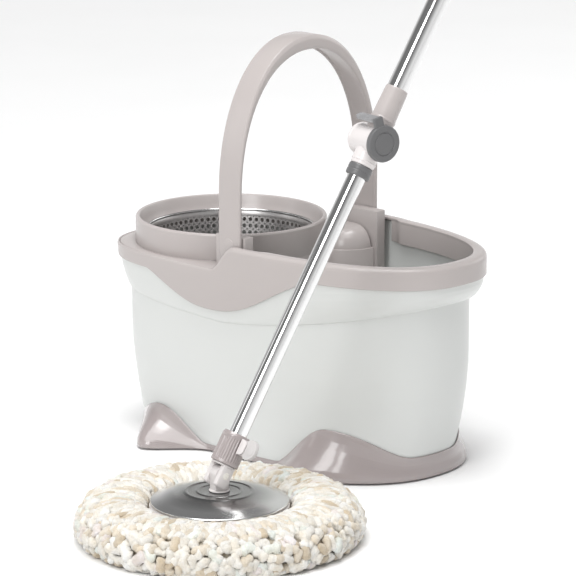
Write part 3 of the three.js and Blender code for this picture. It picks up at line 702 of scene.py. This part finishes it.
def perforated(cells, place):
    """Sheet with holes; place(u, v, side) gives a point on the outer or inner face."""
    points, faces = [], []
    for square, circle in cells:
        steps = len(square)
        start = len(points)
        for side in (0, 1):
            points.extend(place(u, v, side) for u, v in square)
            points.extend(place(u, v, side) for u, v in circle)
        for k in range(steps):
            beside = (k + 1) % steps
            for side in (0, 2):
                edge, rim = start + side * steps, start + (side + 1) * steps
                faces.append((edge + k, edge + beside, rim + beside, rim + k))
            outer, inner = start + steps, start + 3 * steps
            faces.append((outer + k, outer + beside, inner + beside, inner + k))
    return points, faces


def basket_shape():
    """Perforated steel bowl with a plain band at the top and rings of holes in its floor."""
    grid = PERFORATION
    pitch_u = TURN / grid["columns"]
    pitch_v = (grid["high"] - grid["low"] - 6) / grid["rows"]
    cells = []
    for row in range(grid["rows"]):
        v0 = grid["low"] + 6 + row * pitch_v
        middle_radius = basket_radius(v0 + pitch_v / 2)
        for column in range(grid["columns"]):
            u0 = column * pitch_u
            centre = (u0 + pitch_u / 2, v0 + pitch_v / 2)
            hole = (grid["radius"] / middle_radius, grid["radius"])
            cells.append(hole_cell(((u0, v0), (u0 + pitch_u, v0 + pitch_v)), centre, hole))

    def on_wall(u, z, side):
        radius = basket_radius(z) - 1.2 * side
        return radius * math.cos(u), radius * math.sin(u), z

    floor_cells = []
    for ring in range(5):
        r0 = 34 + ring * 10
        count = int(TURN * (r0 + 5) / 10)
        for k in range(count):
            u0 = TURN * k / count
            centre = (u0 + math.pi / count, r0 + 5)
            size = ((u0, r0), (u0 + TURN / count, r0 + 10))
            floor_cells.append(hole_cell(size, centre, (2.6 / (r0 + 5), 2.6)))

    def on_floor(u, r, side):
        return r * math.cos(u), r * math.sin(u), 152.2 + 1.1 * side

    top, low = grid["high"], grid["low"] + 6
    band = [
        (basket_radius(top), top), (103.4, 245.6), (104.2, 246.8), (105.2, 247.2), (105.2, 247.5),
        (102.8, 247.5), (102.0, 245.2), (basket_radius(top) - 1.2, top),
    ]
    heel = [
        (84, 152.2), (86.6, 152.5), (88.6, 154.2), (basket_radius(low), low),
        (basket_radius(low) - 1.2, low), (87.5, 155.3), (86, 153.7), (84, 153.3),
    ]
    centre = [(20.3, 152.2), (34, 152.2), (34, 153.3), (20.3, 153.3)]
    return together(
        perforated(cells, on_wall),
        perforated(floor_cells, on_floor),
        lathe(band, 192, 0.3),
        lathe(heel, 192, 0.3),
        lathe(centre, 96, 0.2),
    )


def hub_shape():
    """The hub that the mop plate sits on, with short drive ribs."""
    body = [
        (0, 168), (4.3, 168), (4.3, 146), (24, 146), (24, 151.7), (20, 151.7), (20, 153.8), (27, 153.8),
        (27, 157), (22, 160), (17, 166), (14, 172), (9, 178), (0, 179),
    ]
    ribs = []
    for k in range(6):
        rib = block((13, -1, 157), (24.5, 1, 165), 0.4, 0.5)
        c, s = math.cos(TURN * k / 6), math.sin(TURN * k / 6)
        turn = np.array([[c, s, 0], [-s, c, 0], [0, 0, 1]])
        ribs.append(moved(rib, lambda p, turn=turn: p @ turn))
    return together(lathe(body, 72, 0.8), *ribs)


HANDLE = {"half": 18, "corner": 11, "span": 122, "foot": 247, "arch": 322, "rise": 183, "power": 2.13}


def handle_stations():
    """(outer y, z), (inner y, z), half width at each step along the strap."""
    h = HANDLE
    legs = [h["foot"] + z for z in (0, 0.4, 1.2, 2.6, 4.6, 7.2, 11, 20, 45)]
    stations = []
    for z in legs:
        drop = max(h["foot"] + h["corner"] - z, 0)
        half = h["half"] - h["corner"] + math.sqrt(max(h["corner"] ** 2 - drop**2, 0))
        stations.append(((h["span"], z), (h["span"] - 5, z), half))
    for angle in np.linspace(0, math.pi, 97):
        c, s = math.cos(angle), math.sin(angle)
        across = math.copysign(abs(c) ** (2 / h["power"]), c)
        up = max(s, 0) ** (2 / h["power"])
        outer = (across * h["span"], h["arch"] + up * h["rise"])
        inner = (across * (h["span"] - 5), h["arch"] + up * (h["rise"] - 17))
        stations.append((outer, inner, h["half"]))
    for (y, z), (inner_y, inner_z), half in reversed(stations[: len(legs)]):
        stations.append(((-y, z), (-inner_y, inner_z), half))
    return stations


def handle_shape():
    """The strap: a flat outer face, bevelled edges and a shallow channel on the inner face."""
    rows = []
    for outer, inner, half in handle_stations():
        def at(x, depth):
            y = lerp(outer[0], inner[0], depth)
            return (HANDLE_X + x, y, lerp(outer[1], inner[1], depth))

        line = [
            at(-half + 2.2, 0), at(-half, 0.3), at(-half, 0.82), at(-half + 1.4, 1), at(-half + 4, 1),
            at(-half + 5.2, 0.86), at(half - 5.2, 0.86), at(half - 4, 1), at(half - 1.4, 1), at(half, 0.82),
            at(half, 0.3), at(half - 2.2, 0),
        ]
        rows.append(soften(line, 0.8, 2, always=True))
    return loft(rows, wrap_rows=False, caps=True)


def pivot_cap(sign):
    """A flush cover on the handle's pivot, with the screw's shank behind it."""
    profile = [(0, 104), (5, 104), (5, 119.9), (8, 119.9), (8, 122.3), (0, 122.6)]

    def stand(points):
        turned = np.column_stack([points[:, 0], sign * points[:, 2], points[:, 1]])
        return turned + np.array([HANDLE_X, 0, 265])

    return moved(lathe(profile, 64, 0.4), stand)


SOAP = {"x": 8, "y": 99.4, "rx": 36, "ry": 44, "bottom": 150, "mouth": 231}


def soap_ring(inset, z, scale=1.0, clearance=0.3):
    """Plan of the dispenser at height z: a half oval with a flat back, kept clear of the ring."""
    rx, ry = (SOAP["rx"] - inset) * scale, (SOAP["ry"] - 2 * inset) * scale
    back = SOAP["y"] - inset
    line = [(SOAP["x"] + rx * math.cos(a), back - ry * math.sin(a)) for a in np.linspace(0, math.pi, 49)]
    line += [(SOAP["x"] + rx * u, back) for u in np.linspace(-0.9, 0.9, 15)]
    ring = []
    for x, y in line:
        away = math.hypot(x - RING_X, y)
        keep = RING_R + clearance
        if away < keep:
            x, y = RING_X + (x - RING_X) * keep / away, y * keep / away
        ring.append((x, y, z))
    return ring


def soap_tank_shape():
    steps = [
        (2.5, 150), (0.8, 150.3), (0.2, 151.4), (0, 153),
        (0, 229.8), (0.4, 230.7), (1, 231), (1.8, 230.6),
    ]
    rows = [soap_ring(inset, z) for inset, z in steps]
    rows += [soap_ring(2, z, clearance=2.3) for z in (229.5, 200, 160, 153.2)]
    return loft(rows, wrap_rows=False, caps=True)


def soap_cap_shape():
    rows = [soap_ring(2.6, 221), soap_ring(2.5, 226.4)]
    for u in np.linspace(0, 1, 25):
        rise = 1.19 * math.sin(u * math.pi / 2)
        spread = max(math.cos(u * math.pi / 2), 0.004) ** 0.66
        rows.append(soap_ring(2.5, 226.6 + 26 * rise, spread, 2.8))
    return loft(rows, wrap_rows=False, caps=True)


def build_bucket():
    mesh_piece("tub", round_bucket(tub_section), WHITE, BUCKET, "bucket", ["bucket_tub"])
    mesh_piece(
        "collar", round_bucket(collar_section, 0.7), TAUPE, BUCKET, "bucket", ["rim_collar"]
    )
    mesh_piece("inner_lip", inner_lip(), TAUPE, BUCKET, "bucket", ["rim_collar"])
    mesh_piece(
        "skirt", round_bucket(skirt_section, 0.8), DARK_TAUPE, BUCKET,
        "bucket", ["base_skirt"],
    )
    housing = [
        ("housing_ring", at_ring(ring_shape())),
        ("housing_deck", deck_shape()),
        ("housing_front_tower", block((-16, -115.6, 200), (32, -100, 275), 1.2, 2)),
        ("housing_back_tower", block((-16, 100, 200), (48, 115.6, 276), 1.2, 2)),
    ]
    for name, shape in housing:
        mesh_piece(name, shape, TAUPE, BUCKET, "bucket", ["basket_housing"])
    pedestal = [
        (0, 10.3), (46, 10.3), (46, 15), (36, 17), (28, 20), (23, 30),
        (13, 143), (4.3, 143), (4.3, 60), (0, 60),
    ]
    mesh_piece(
        "pedestal", at_ring(lathe(pedestal, 72, 1)), WHITE, BUCKET,
        "bucket", ["basket_pedestal"],
    )
    mesh_piece("handle", handle_shape(), TAUPE, BUCKET, "bail", ["carry_handle"])
    for sign, end in ((-1, "front"), (1, "back")):
        mesh_piece(
            f"pivot_cap_{end}", pivot_cap(sign), TAUPE, BUCKET,
            "bucket", [f"pivot_screw_{end}"],
        )
    mesh_piece(
        "basket", basket_shape(), BASKET_STEEL, BUCKET @ Matrix.Translation((RING_X * MM, 0, 0)),
        "basket", ["wringer_basket"],
    )
    lip = [(102.6, 247.8), (106, 247.8), (106, 249.6), (105, 250.6), (103.4, 250.6), (102.6, 249.6)]
    mesh_piece(
        "lip", at_ring(lathe(lip, 192, 0.4)), LIP_STEEL, BUCKET, "basket", ["basket_lip"]
    )
    mesh_piece("hub", at_ring(hub_shape()), GREY, BUCKET, "basket", ["basket_hub"])
    mesh_piece("soap_box", soap_tank_shape(), TAUPE, BUCKET, "bucket", ["soap_tank"])
    mesh_piece("soap_dome", soap_cap_shape(), TAUPE, BUCKET, "soap_button", ["soap_cap"])


# ---------- mop head ----------

TINTS = [
    ((0.93, 0.925, 0.90), 6), ((0.91, 0.89, 0.84), 5), ((0.82, 0.75, 0.64), 3.2), ((0.70, 0.61, 0.48), 1.5),
    ((0.87, 0.92, 0.89), 1.1), ((0.93, 0.88, 0.88), 0.9),
]
YARN_LINE = [
    (84, 37), (90, 43.5), (100, 47.5), (114, 50), (128, 49), (140, 45.5), (150, 39), (157, 30),
    (160, 20), (158.5, 11), (154, 5), (147, 2.5),
]


def yarn_point(s, angle, lift=0.0):
    """A point on the pad's outside, s from 0 at the plate to 1 under the edge."""
    line = np.array(YARN_LINE, float)
    steps = np.concatenate([[0], np.cumsum(np.linalg.norm(np.diff(line, axis=0), axis=1))])
    at = min(max(s, 0), 1) * steps[-1]
    r, z = np.interp(at, steps, line[:, 0]), np.interp(at, steps, line[:, 1])
    ahead = (np.interp(at + 3, steps, line[:, 0]) - r, np.interp(at + 3, steps, line[:, 1]) - z)
    if at + 3 > steps[-1]:
        ahead = (-0.9, -0.3)
    size = math.hypot(*ahead)
    r += -ahead[1] / size * lift
    z += ahead[0] / size * lift
    return np.array([r * math.cos(angle), r * math.sin(angle), z])


def tuft(rng, s, angle, length, width, lean, proud):
    """One lump of chenille: a short fat curl along the pad's surface."""
    path, radii = [], []
    steps = 8
    phase = rng.uniform(0, TURN)
    for k in range(steps + 1):
        u = k / steps
        arch = math.sin(math.pi * u)
        along = s + (u - 0.5) * length * math.cos(lean)
        around = angle + (u - 0.5) * length * math.sin(lean) * 1.15
        path.append(yarn_point(along, around, proud * arch - 3.2 + 1.2 * math.sin(phase + 3 * u)))
        end = min(1, 2.6 * math.sqrt(max(u * (1 - u), 0)))
        lump = 1 + 0.2 * math.sin(phase + 9 * u) + rng.uniform(-0.1, 0.1)
        radii.append(width * max(end, 0.12) * lump)
    path = np.array(path)
    path[:, 2] = np.maximum(path[:, 2], np.array(radii) * 0.9 + 0.35)
    return sweep(path, radii, 8, squash=rng.uniform(0.8, 1.1))


def pad_core():
    """The mass of yarn under the tufts."""
    profile = [
        (82.5, 28), (82.5, 36), (90, 40), (104, 44), (120, 46), (136, 43), (147, 36), (153, 27),
        (154, 17), (150, 7), (143, 1.5), (120, 0.8), (90, 0.8), (60, 0.8), (30, 0.8), (0, 0.8),
    ]
    line = [(0, 28), *profile]
    points, faces = lathe(line, 200, 2.5)
    points = np.array(points)
    for i, point in enumerate(points):
        lump = noise.noise(Vector(point) * 0.11) * 2.2 + noise.noise(Vector(point) * 0.3) * 1.1
        reach = math.hypot(point[0], point[1])
        if reach > 84:
            points[i, :2] *= 1 + lump / reach
            points[i, 2] = max(point[2] + 0.6 * lump, 0.5)
    return points, faces


def build_pad():
    rng = random.Random(41)
    tones = [tint for tint, _ in TINTS]
    weights = [weight for _, weight in TINTS]
    shapes, tints = [pad_core()], [(0.66, 0.60, 0.50)]

    def add(s, angle, length, width, lean, proud, deep=1.0):
        shapes.append(tuft(rng, s, angle, length, width, lean, proud))
        tone = rng.choices(tones, weights)[0]
        dim = rng.uniform(0.86, 1.03) * deep
        tints.append(tuple(min(channel * dim, 0.95) for channel in tone))

    for ring, count in ((0.045, 92), (0.12, 104), (0.2, 116), (0.28, 126), (0.36, 132), (0.45, 138)):
        for k in range(count):
            angle = TURN * (k + rng.uniform(-0.3, 0.3)) / count
            s = ring + rng.uniform(-0.03, 0.03)
            length, width = rng.uniform(0.19, 0.3), rng.uniform(3.7, 5.0)
            lean, proud = rng.gauss(0, 0.22), rng.uniform(0.5, 2.8)
            add(s, angle, length, width, lean, proud)
    for ring in (0.53, 0.6, 0.67, 0.74, 0.81, 0.88, 0.95):
        count = 104
        for k in range(count):
            angle = TURN * (k + rng.uniform(-0.45, 0.45)) / count
            s = ring + rng.uniform(-0.035, 0.035)
            deep = 1 - 0.16 * (ring - 0.53)
            length, width = rng.uniform(0.07, 0.14), rng.uniform(4.4, 6.4)
            lean, proud = rng.gauss(0.1, 0.75), rng.uniform(0.8, 4.0)
            add(s, angle, length, width, lean, proud, deep)
    points, faces = together(*shapes)
    lying = [(x, y, max(z, 0.1)) for x, y, z in points]  # the yarn lies flat on the floor
    pad = mesh_piece("yarn_pad", (lying, faces), YARN, HEAD, "mop_head", ["mop_pad"], sharp=180)
    # remove_doubles keeps each tuft's points in order, so each island takes its own tint
    paint_islands(pad.data, tints)
    return pad


def paint_islands(mesh, tints):
    """Gives each separate lump its own tint, in the order they were made."""
    owner = list(range(len(mesh.vertices)))

    def find(i):
        while owner[i] != i:
            owner[i] = owner[owner[i]]
            i = owner[i]
        return i

    for a, b in (edge.vertices for edge in mesh.edges):
        first, second = find(a), find(b)
        if first != second:
            owner[max(first, second)] = min(first, second)
    order, values = {}, []
    for i in range(len(mesh.vertices)):
        root = find(i)
        index = order.setdefault(root, len(order))
        values.extend((*tints[min(index, len(tints) - 1)], 1))
    layer = mesh.color_attributes.new("tint", "FLOAT_COLOR", "POINT")
    layer.data.foreach_set("color", values)


def plate_shape():
    """The domed steel plate with two raised rings round its middle."""
    rim, crown = 45, 55
    profile = [
        (8.3, crown - 1.5), (38, crown - 1.8), (60, crown - 6), (76, rim - 2), (78, rim - 2),
        (78.3, rim - 0.8), (77.6, rim + 0.3), (75, rim + 0.9), (70, 47.8), (65, 49.5), (60, 51),
        (52, 52.8), (46, 53.9), (41, 54.7), (39, 55.6), (37.5, 55.9), (36, 55.5), (35, crown),
        (27, crown), (25.8, 55.7), (24.6, 55.9), (23.4, 55.6),
        (22.5, crown), (8.3, crown),
    ]
    return lathe(profile, 192, 0.7)


def build_head():
    build_pad()
    mesh_piece("plate", plate_shape(), PLATE_STEEL, HEAD, "mop_head", ["head_plate"])
    carrier = [(30, 29.5), (79, 29.5), (79, 40), (74, 42.6), (62, 42.6), (60, 34), (30, 34)]
    mesh_piece("carrier", lathe(carrier, 96, 0.8), SHELL, HEAD, "mop_head", ["yarn_carrier"])
    base = lathe([(0, 46), (8, 46), (8, 55.3), (11.8, 55.3), (11.8, 56.8), (10.8, 57.4), (0, 57.4)], 72, 0.6)
    outline = [(9, 57), *arc((0, 75), 9, 0, 180, 25), (-9, 57)]
    lug = moved(prism(outline, -6.3, 6.3, 1.2), lambda p: p[:, [2, 0, 1]])
    mesh_piece(
        "swivel_lug", together(base, lug), SHELL, SWIVEL, "swivel", ["swivel_base"]
    )


# ---------- pole ----------


def fork_shape():
    foot = [*arc((-5, -11.5), 3, 185, 270, 7), *arc((5, -11.5), 3, 270, 355, 7)]
    ear = [(-8, 11), (-8, -11.5), *foot, (8, -11.5), (8, 11)]
    ears = [moved(prism(ear, x, x + 6.8, 1.1), lambda p: p[:, [2, 0, 1]]) for x in (-13.4, 6.6)]
    socket = [
        (0, 9.6), (14.2, 9.6), (14.8, 10.2), (14.8, 11.2), (14.4, 11.6), (12.4, 11.6), (12.4, 32),
        (11, 32), (11, 25.7), (0, 25.7),
    ]
    return together(*ears, lathe(socket, 96, 0.4))


def sleeve_shape():
    """The push sleeve with shallow flutes along it."""
    flutes, per = 30, 8
    rows = []
    levels = [
        (11.9, 15.8, 0), (12.5, 16.6, 0), (15, 16.6, 0), (15.5, 16.3, 0.2), (16.5, 16.2, 1), (41, 16.2, 1),
        (42.3, 16.2, 0.4), (43, 16.5, 0), (45.4, 16.6, 0), (46.2, 16.2, 0), (48.5, 14.9, 0), (48.5, 11.1, 0),
        (32.4, 11.1, 0), (32.4, 12.7, 0), (11.9, 12.7, 0),
    ]
    for k in range(flutes * per):
        angle = TURN * k / (flutes * per)
        dip = 0.7 * max(math.cos(angle * flutes), -0.2)
        rows.append(
            [
                ((r - dip * cut) * math.cos(angle), (r - dip * cut) * math.sin(angle), z)
                for z, r, cut in levels
            ]
        )
    return loft(rows)


def tube_shape(radius, low, high):
    line = [
        (radius - 1, low), (radius - 0.3, low), (radius, low + 0.4), (radius, high - 0.4),
        (radius - 0.3, high), (radius - 1, high),
    ]
    return lathe(line, 96, 0.1)


def upright(points):
    """A shape drawn in X and Y, stood up along the pole."""
    return points[:, [0, 2, 1]]


def tab_shape():
    outline = [*arc((22, 36.7), 2.6, 90, 270, 9), *arc((34, 36.7), 12, -144, 144, 33)]
    body = prism(outline, -2.5, 2.5, 1.0)
    pad = prism(arc((37.2, 36.7), 6.6, 0, 360, 33)[:-1], 2.3, 3.0, 0.5)
    under = moved(pad, lambda p: p * np.array([1, 1, -1]))
    return moved(together(body, pad, under), upright)


def bracket_shape():
    """Two cheeks and the web between them, against the push sleeve."""
    outline = [(17.2, 27.2), (25, 28.2), (28, 31.2), (28, 42.2), (25, 45.2), (17.2, 45.7)]
    cheek = soften(outline, 1.2, 3, always=True)
    sides = [moved(prism(cheek, y, y + 1.7, 0.4), upright) for y in (-4.5, 2.8)]
    web = block((17.2, -2.9, 27.6), (18.8, 2.9, 45.2), 0.2, 0.3)
    return together(*sides, web)


BARREL_AT = 413


def barrel_shape():
    profile = [
        (0, -25.5), (16, -25.5), (18, -24.8), (18.6, -23.2), (18.6, -21.2), (18.2, -20.8), (18.6, -20.4),
        (18.6, 15), (18.1, 15.5), (0, 15.5),
    ]
    drum = moved(lathe(profile, 96, 0.4), lambda p: about_x(p) + np.array([0, 0, BARREL_AT]))
    neck = [
        (12.5, 382), (13.2, 382), (13.8, 382.8), (14.1, 384.2), (14.3, 396), (14.3, 401), (12.5, 401),
    ]
    rib = lathe([(13.9, 386), (14.7, 386.5), (14.7, 388), (14, 388.5)], 96, 0.3)
    return together(drum, lathe(neck, 96, 0.5), rib)


def lever_turned(points):
    """From the lever's own frame, where its arm points along Z, to its place on the barrel."""
    c, s = math.cos(math.radians(45)), math.sin(math.radians(45))
    y, z = points[:, 1] * c - points[:, 2] * s, points[:, 1] * s + points[:, 2] * c
    return np.column_stack([points[:, 0], y, z + BARREL_AT])


def lever_shape():
    profile = [
        (0, 15.8), (19.9, 15.8), (21, 16.6), (21.3, 17.8), (21.3, 21), (20.9, 22.1), (19.7, 23),
        (13.9, 23), (13.4, 22.2), (12.6, 22.2), (12.1, 23), (0, 23.1),
    ]
    disc = lathe(profile, 96, 0.35)
    arm = block((16.8, -6, 8), (22, 6, 31.5), 1, 1.5)
    return moved(together(moved(disc, about_x), arm), lever_turned)


def lever_grip_shape():
    return moved(block((-18, -4.5, 25.5), (17.5, 4.5, 31.5), 1.4, 2.5), lever_turned)


def sleeve_top_shape():
    """The tapered collar above the barrel; its foot is hidden in the drum."""
    line = [
        (12.5, 420), (14.4, 420), (14.4, 437.6), (14.9, 438.6), (14.9, 440.6), (14.3, 441.6), (13.4, 475),
        (13.1, 477.6), (12.6, 478.5), (12.5, 478.5),
    ]
    return lathe(line, 96, 0.5)


def grip_shape():
    line = [(12.5, 985), (14.2, 985), (15.2, 986.4), (16, 989)]
    for k in range(12):
        z = 1000 + 6 * k
        wide = float(np.interp(z, (1000, 1040, 1060, 1075), (16, 16, 15.1, 15.1)))
        line += [(wide, z), (wide - 0.8, z + 0.8), (wide - 0.8, z + 2.4), (wide, z + 3.2)]
    line += [(15, 1084), (16.2, 1105), (16.2, 1125.6), (15.4, 1127), (12.5, 1127)]
    return lathe(line, 96, 0.4)


def cap_shape():
    profile = [
        (0, 1110), (10.7, 1110), (10.7, 1128.3), (15.8, 1128.3), (16.2, 1129), (15.8, 1134),
        (14.6, 1136), (0, 1137),
    ]
    plug = lathe(profile, 96, 0.5)
    angles = np.linspace(0, TURN, 64, endpoint=False)
    ring = [(10.3 * math.cos(a), 0, 1150 + 10.3 * math.sin(a)) for a in angles]
    loop = sweep(ring, [2.9] * 64, 16, closed=True, squash=1.25)
    root = block((-8, -3.6, 1133), (8, 3.6, 1143), 1, 2)
    return together(plug, loop, root)


def build_pole():
    def lower(name, shape, finish, node, sharp=38, body="lower_pole"):
        mesh_piece(name, shape, finish, POLE, body, [node], sharp)

    lower("fork", fork_shape(), SHELL, "fork_connector")
    lower("push_sleeve", sleeve_shape(), DARK_TAUPE, "connector_sleeve", 50)
    lower("bracket", bracket_shape(), SHELL, "tab_bracket")
    lower("lock_tab_paddle", tab_shape(), PALE_GREY, "head_lock_tab", body="lock_tab")
    lower("tube_low", tube_shape(10.7, 26, 575), TUBE_STEEL, "lower_tube")
    seal = [
        (11.1, 368.5), (13.2, 368.5), (13.9, 369.2), (14.1, 370.2), (14.1, 374.2), (13.7, 374.6),
        (13.7, 375.4), (14.1, 375.8), (14.1, 380.4), (13.4, 381.7), (11.1, 381.7),
    ]
    lower("seal_ring", lathe(seal, 96, 0.3), GREY, "tube_seal_ring", body="seal")

    def upper(name, shape, finish, node, body="upper_pole"):
        mesh_piece(name, shape, finish, UPPER, body, [node])

    upper("barrel", barrel_shape(), SHELL, "lock_barrel")
    upper("sleeve_top", sleeve_top_shape(), TAUPE, "barrel_sleeve")
    upper("lever", lever_shape(), GREY, "lock_lever", "lever")
    upper("lever_grip", lever_grip_shape(), SMOKE, "lock_lever", "lever")
    upper("tube_high", tube_shape(12.1, 386, 1128), TUBE_STEEL, "upper_tube")
    upper("grip", grip_shape(), TAUPE, "hand_grip")
    upper("cap", cap_shape(), GREY, "end_cap")


def dress_kept_nodes():
    """The small inner pieces that stay as they were packed get their finish."""
    finishes = {
        "taupe_plastic": TAUPE, "dark_taupe_plastic": DARK_TAUPE, "white_plastic": SHELL,
        "dark_grey_plastic": GREY, "foot_rubber": RUBBER, "polished_steel": LIP_STEEL,
        "basket_steel": BASKET_STEEL, "yarn": YARN,
    }
    slots = {part["node"]: part["material_slot"] for part in frame["record"]["subparts"]}
    for name, node in frame["nodes"].items():
        if node.hide_render:
            continue
        node.data.materials.clear()
        node.data.materials.append(finishes[slots[name]])
        node.data.shade_smooth()
        node.data.set_sharp_from_angle(angle=math.radians(30))


# ---------- studio ----------


def make_floor():
    mesh = bpy.data.meshes.new("floor")
    half = 12
    corners = [(-half, -half, 0), (half, -half, 0), (half, half, 0), (-half, half, 0)]
    mesh.from_pydata(corners, [], [(0, 1, 2, 3)])
    finish = Finish("floor", Specular_IOR_Level=0.15)
    cloud = finish.ramp(finish.noise(3, 2), 0, 1)
    finish.drive("Base Color", finish.mix(cloud, (0.93, 0.93, 0.93, 1), (0.945, 0.945, 0.945, 1)))
    finish.drive("Roughness", finish.ramp(finish.noise(20, 2), 0.7, 0.8))
    mesh.materials.append(finish.material)
    floor = bpy.data.objects.new("floor", mesh)
    bpy.context.scene.collection.objects.link(floor)


def area_light(name, place, aim, width, height, power):
    data = bpy.data.lights.new(name, "AREA")
    data.shape = "RECTANGLE"
    data.size, data.size_y, data.energy = width, height, power
    lamp = bpy.data.objects.new(name, data)
    bpy.context.scene.collection.objects.link(lamp)
    lamp.location = Vector(place)
    lamp.rotation_euler = (Vector(aim) - Vector(place)).to_track_quat("-Z", "Y").to_euler()


def make_studio():
    make_floor()
    aim = (0, 0.05, 0.25)
    sky = bpy.data.lights.new("sky", "SUN")
    sky.energy, sky.angle = 2.05, math.radians(50)
    overhead = bpy.data.objects.new("sky", sky)
    bpy.context.scene.collection.objects.link(overhead)
    overhead.rotation_euler = Vector((-0.12, 0.3, -1)).to_track_quat("-Z", "Y").to_euler()
    area_light("key", (0.9, -3.3, 2.1), aim, 1.3, 1.6, 42)
    area_light("top", (0.05, 0.1, 2.7), (0.05, 0.12, 0), 1.1, 1.1, 24)
    area_light("left", (-2.6, -2.6, 1.5), aim, 0.8, 1.6, 4)
    area_light("back", (0.6, 3.6, 1.7), aim, 3.0, 1.2, 14)
    world = bpy.data.worlds.new("studio")
    bpy.context.scene.world = world
    world.use_nodes = True
    tree = world.node_tree
    place = tree.nodes.new("ShaderNodeTexCoord").outputs["Generated"]
    split = tree.nodes.new("ShaderNodeSeparateXYZ")
    tree.links.new(place, split.inputs[0])
    fade = tree.nodes.new("ShaderNodeMapRange")
    tree.links.new(split.outputs[2], fade.inputs["Value"])
    # pale at the horizon, greyer overhead
    for socket, value in (("From Min", 0.1), ("From Max", 0.45), ("To Min", 0.88), ("To Max", 0.2)):
        fade.inputs[socket].default_value = value
    tree.links.new(fade.outputs["Result"], tree.nodes["Background"].inputs["Color"])
    bpy.context.scene.view_settings.view_transform = "Standard"


build_bucket()
build_head()
build_pole()
dress_kept_nodes()
make_studio()

bpy.context.view_layer.update()
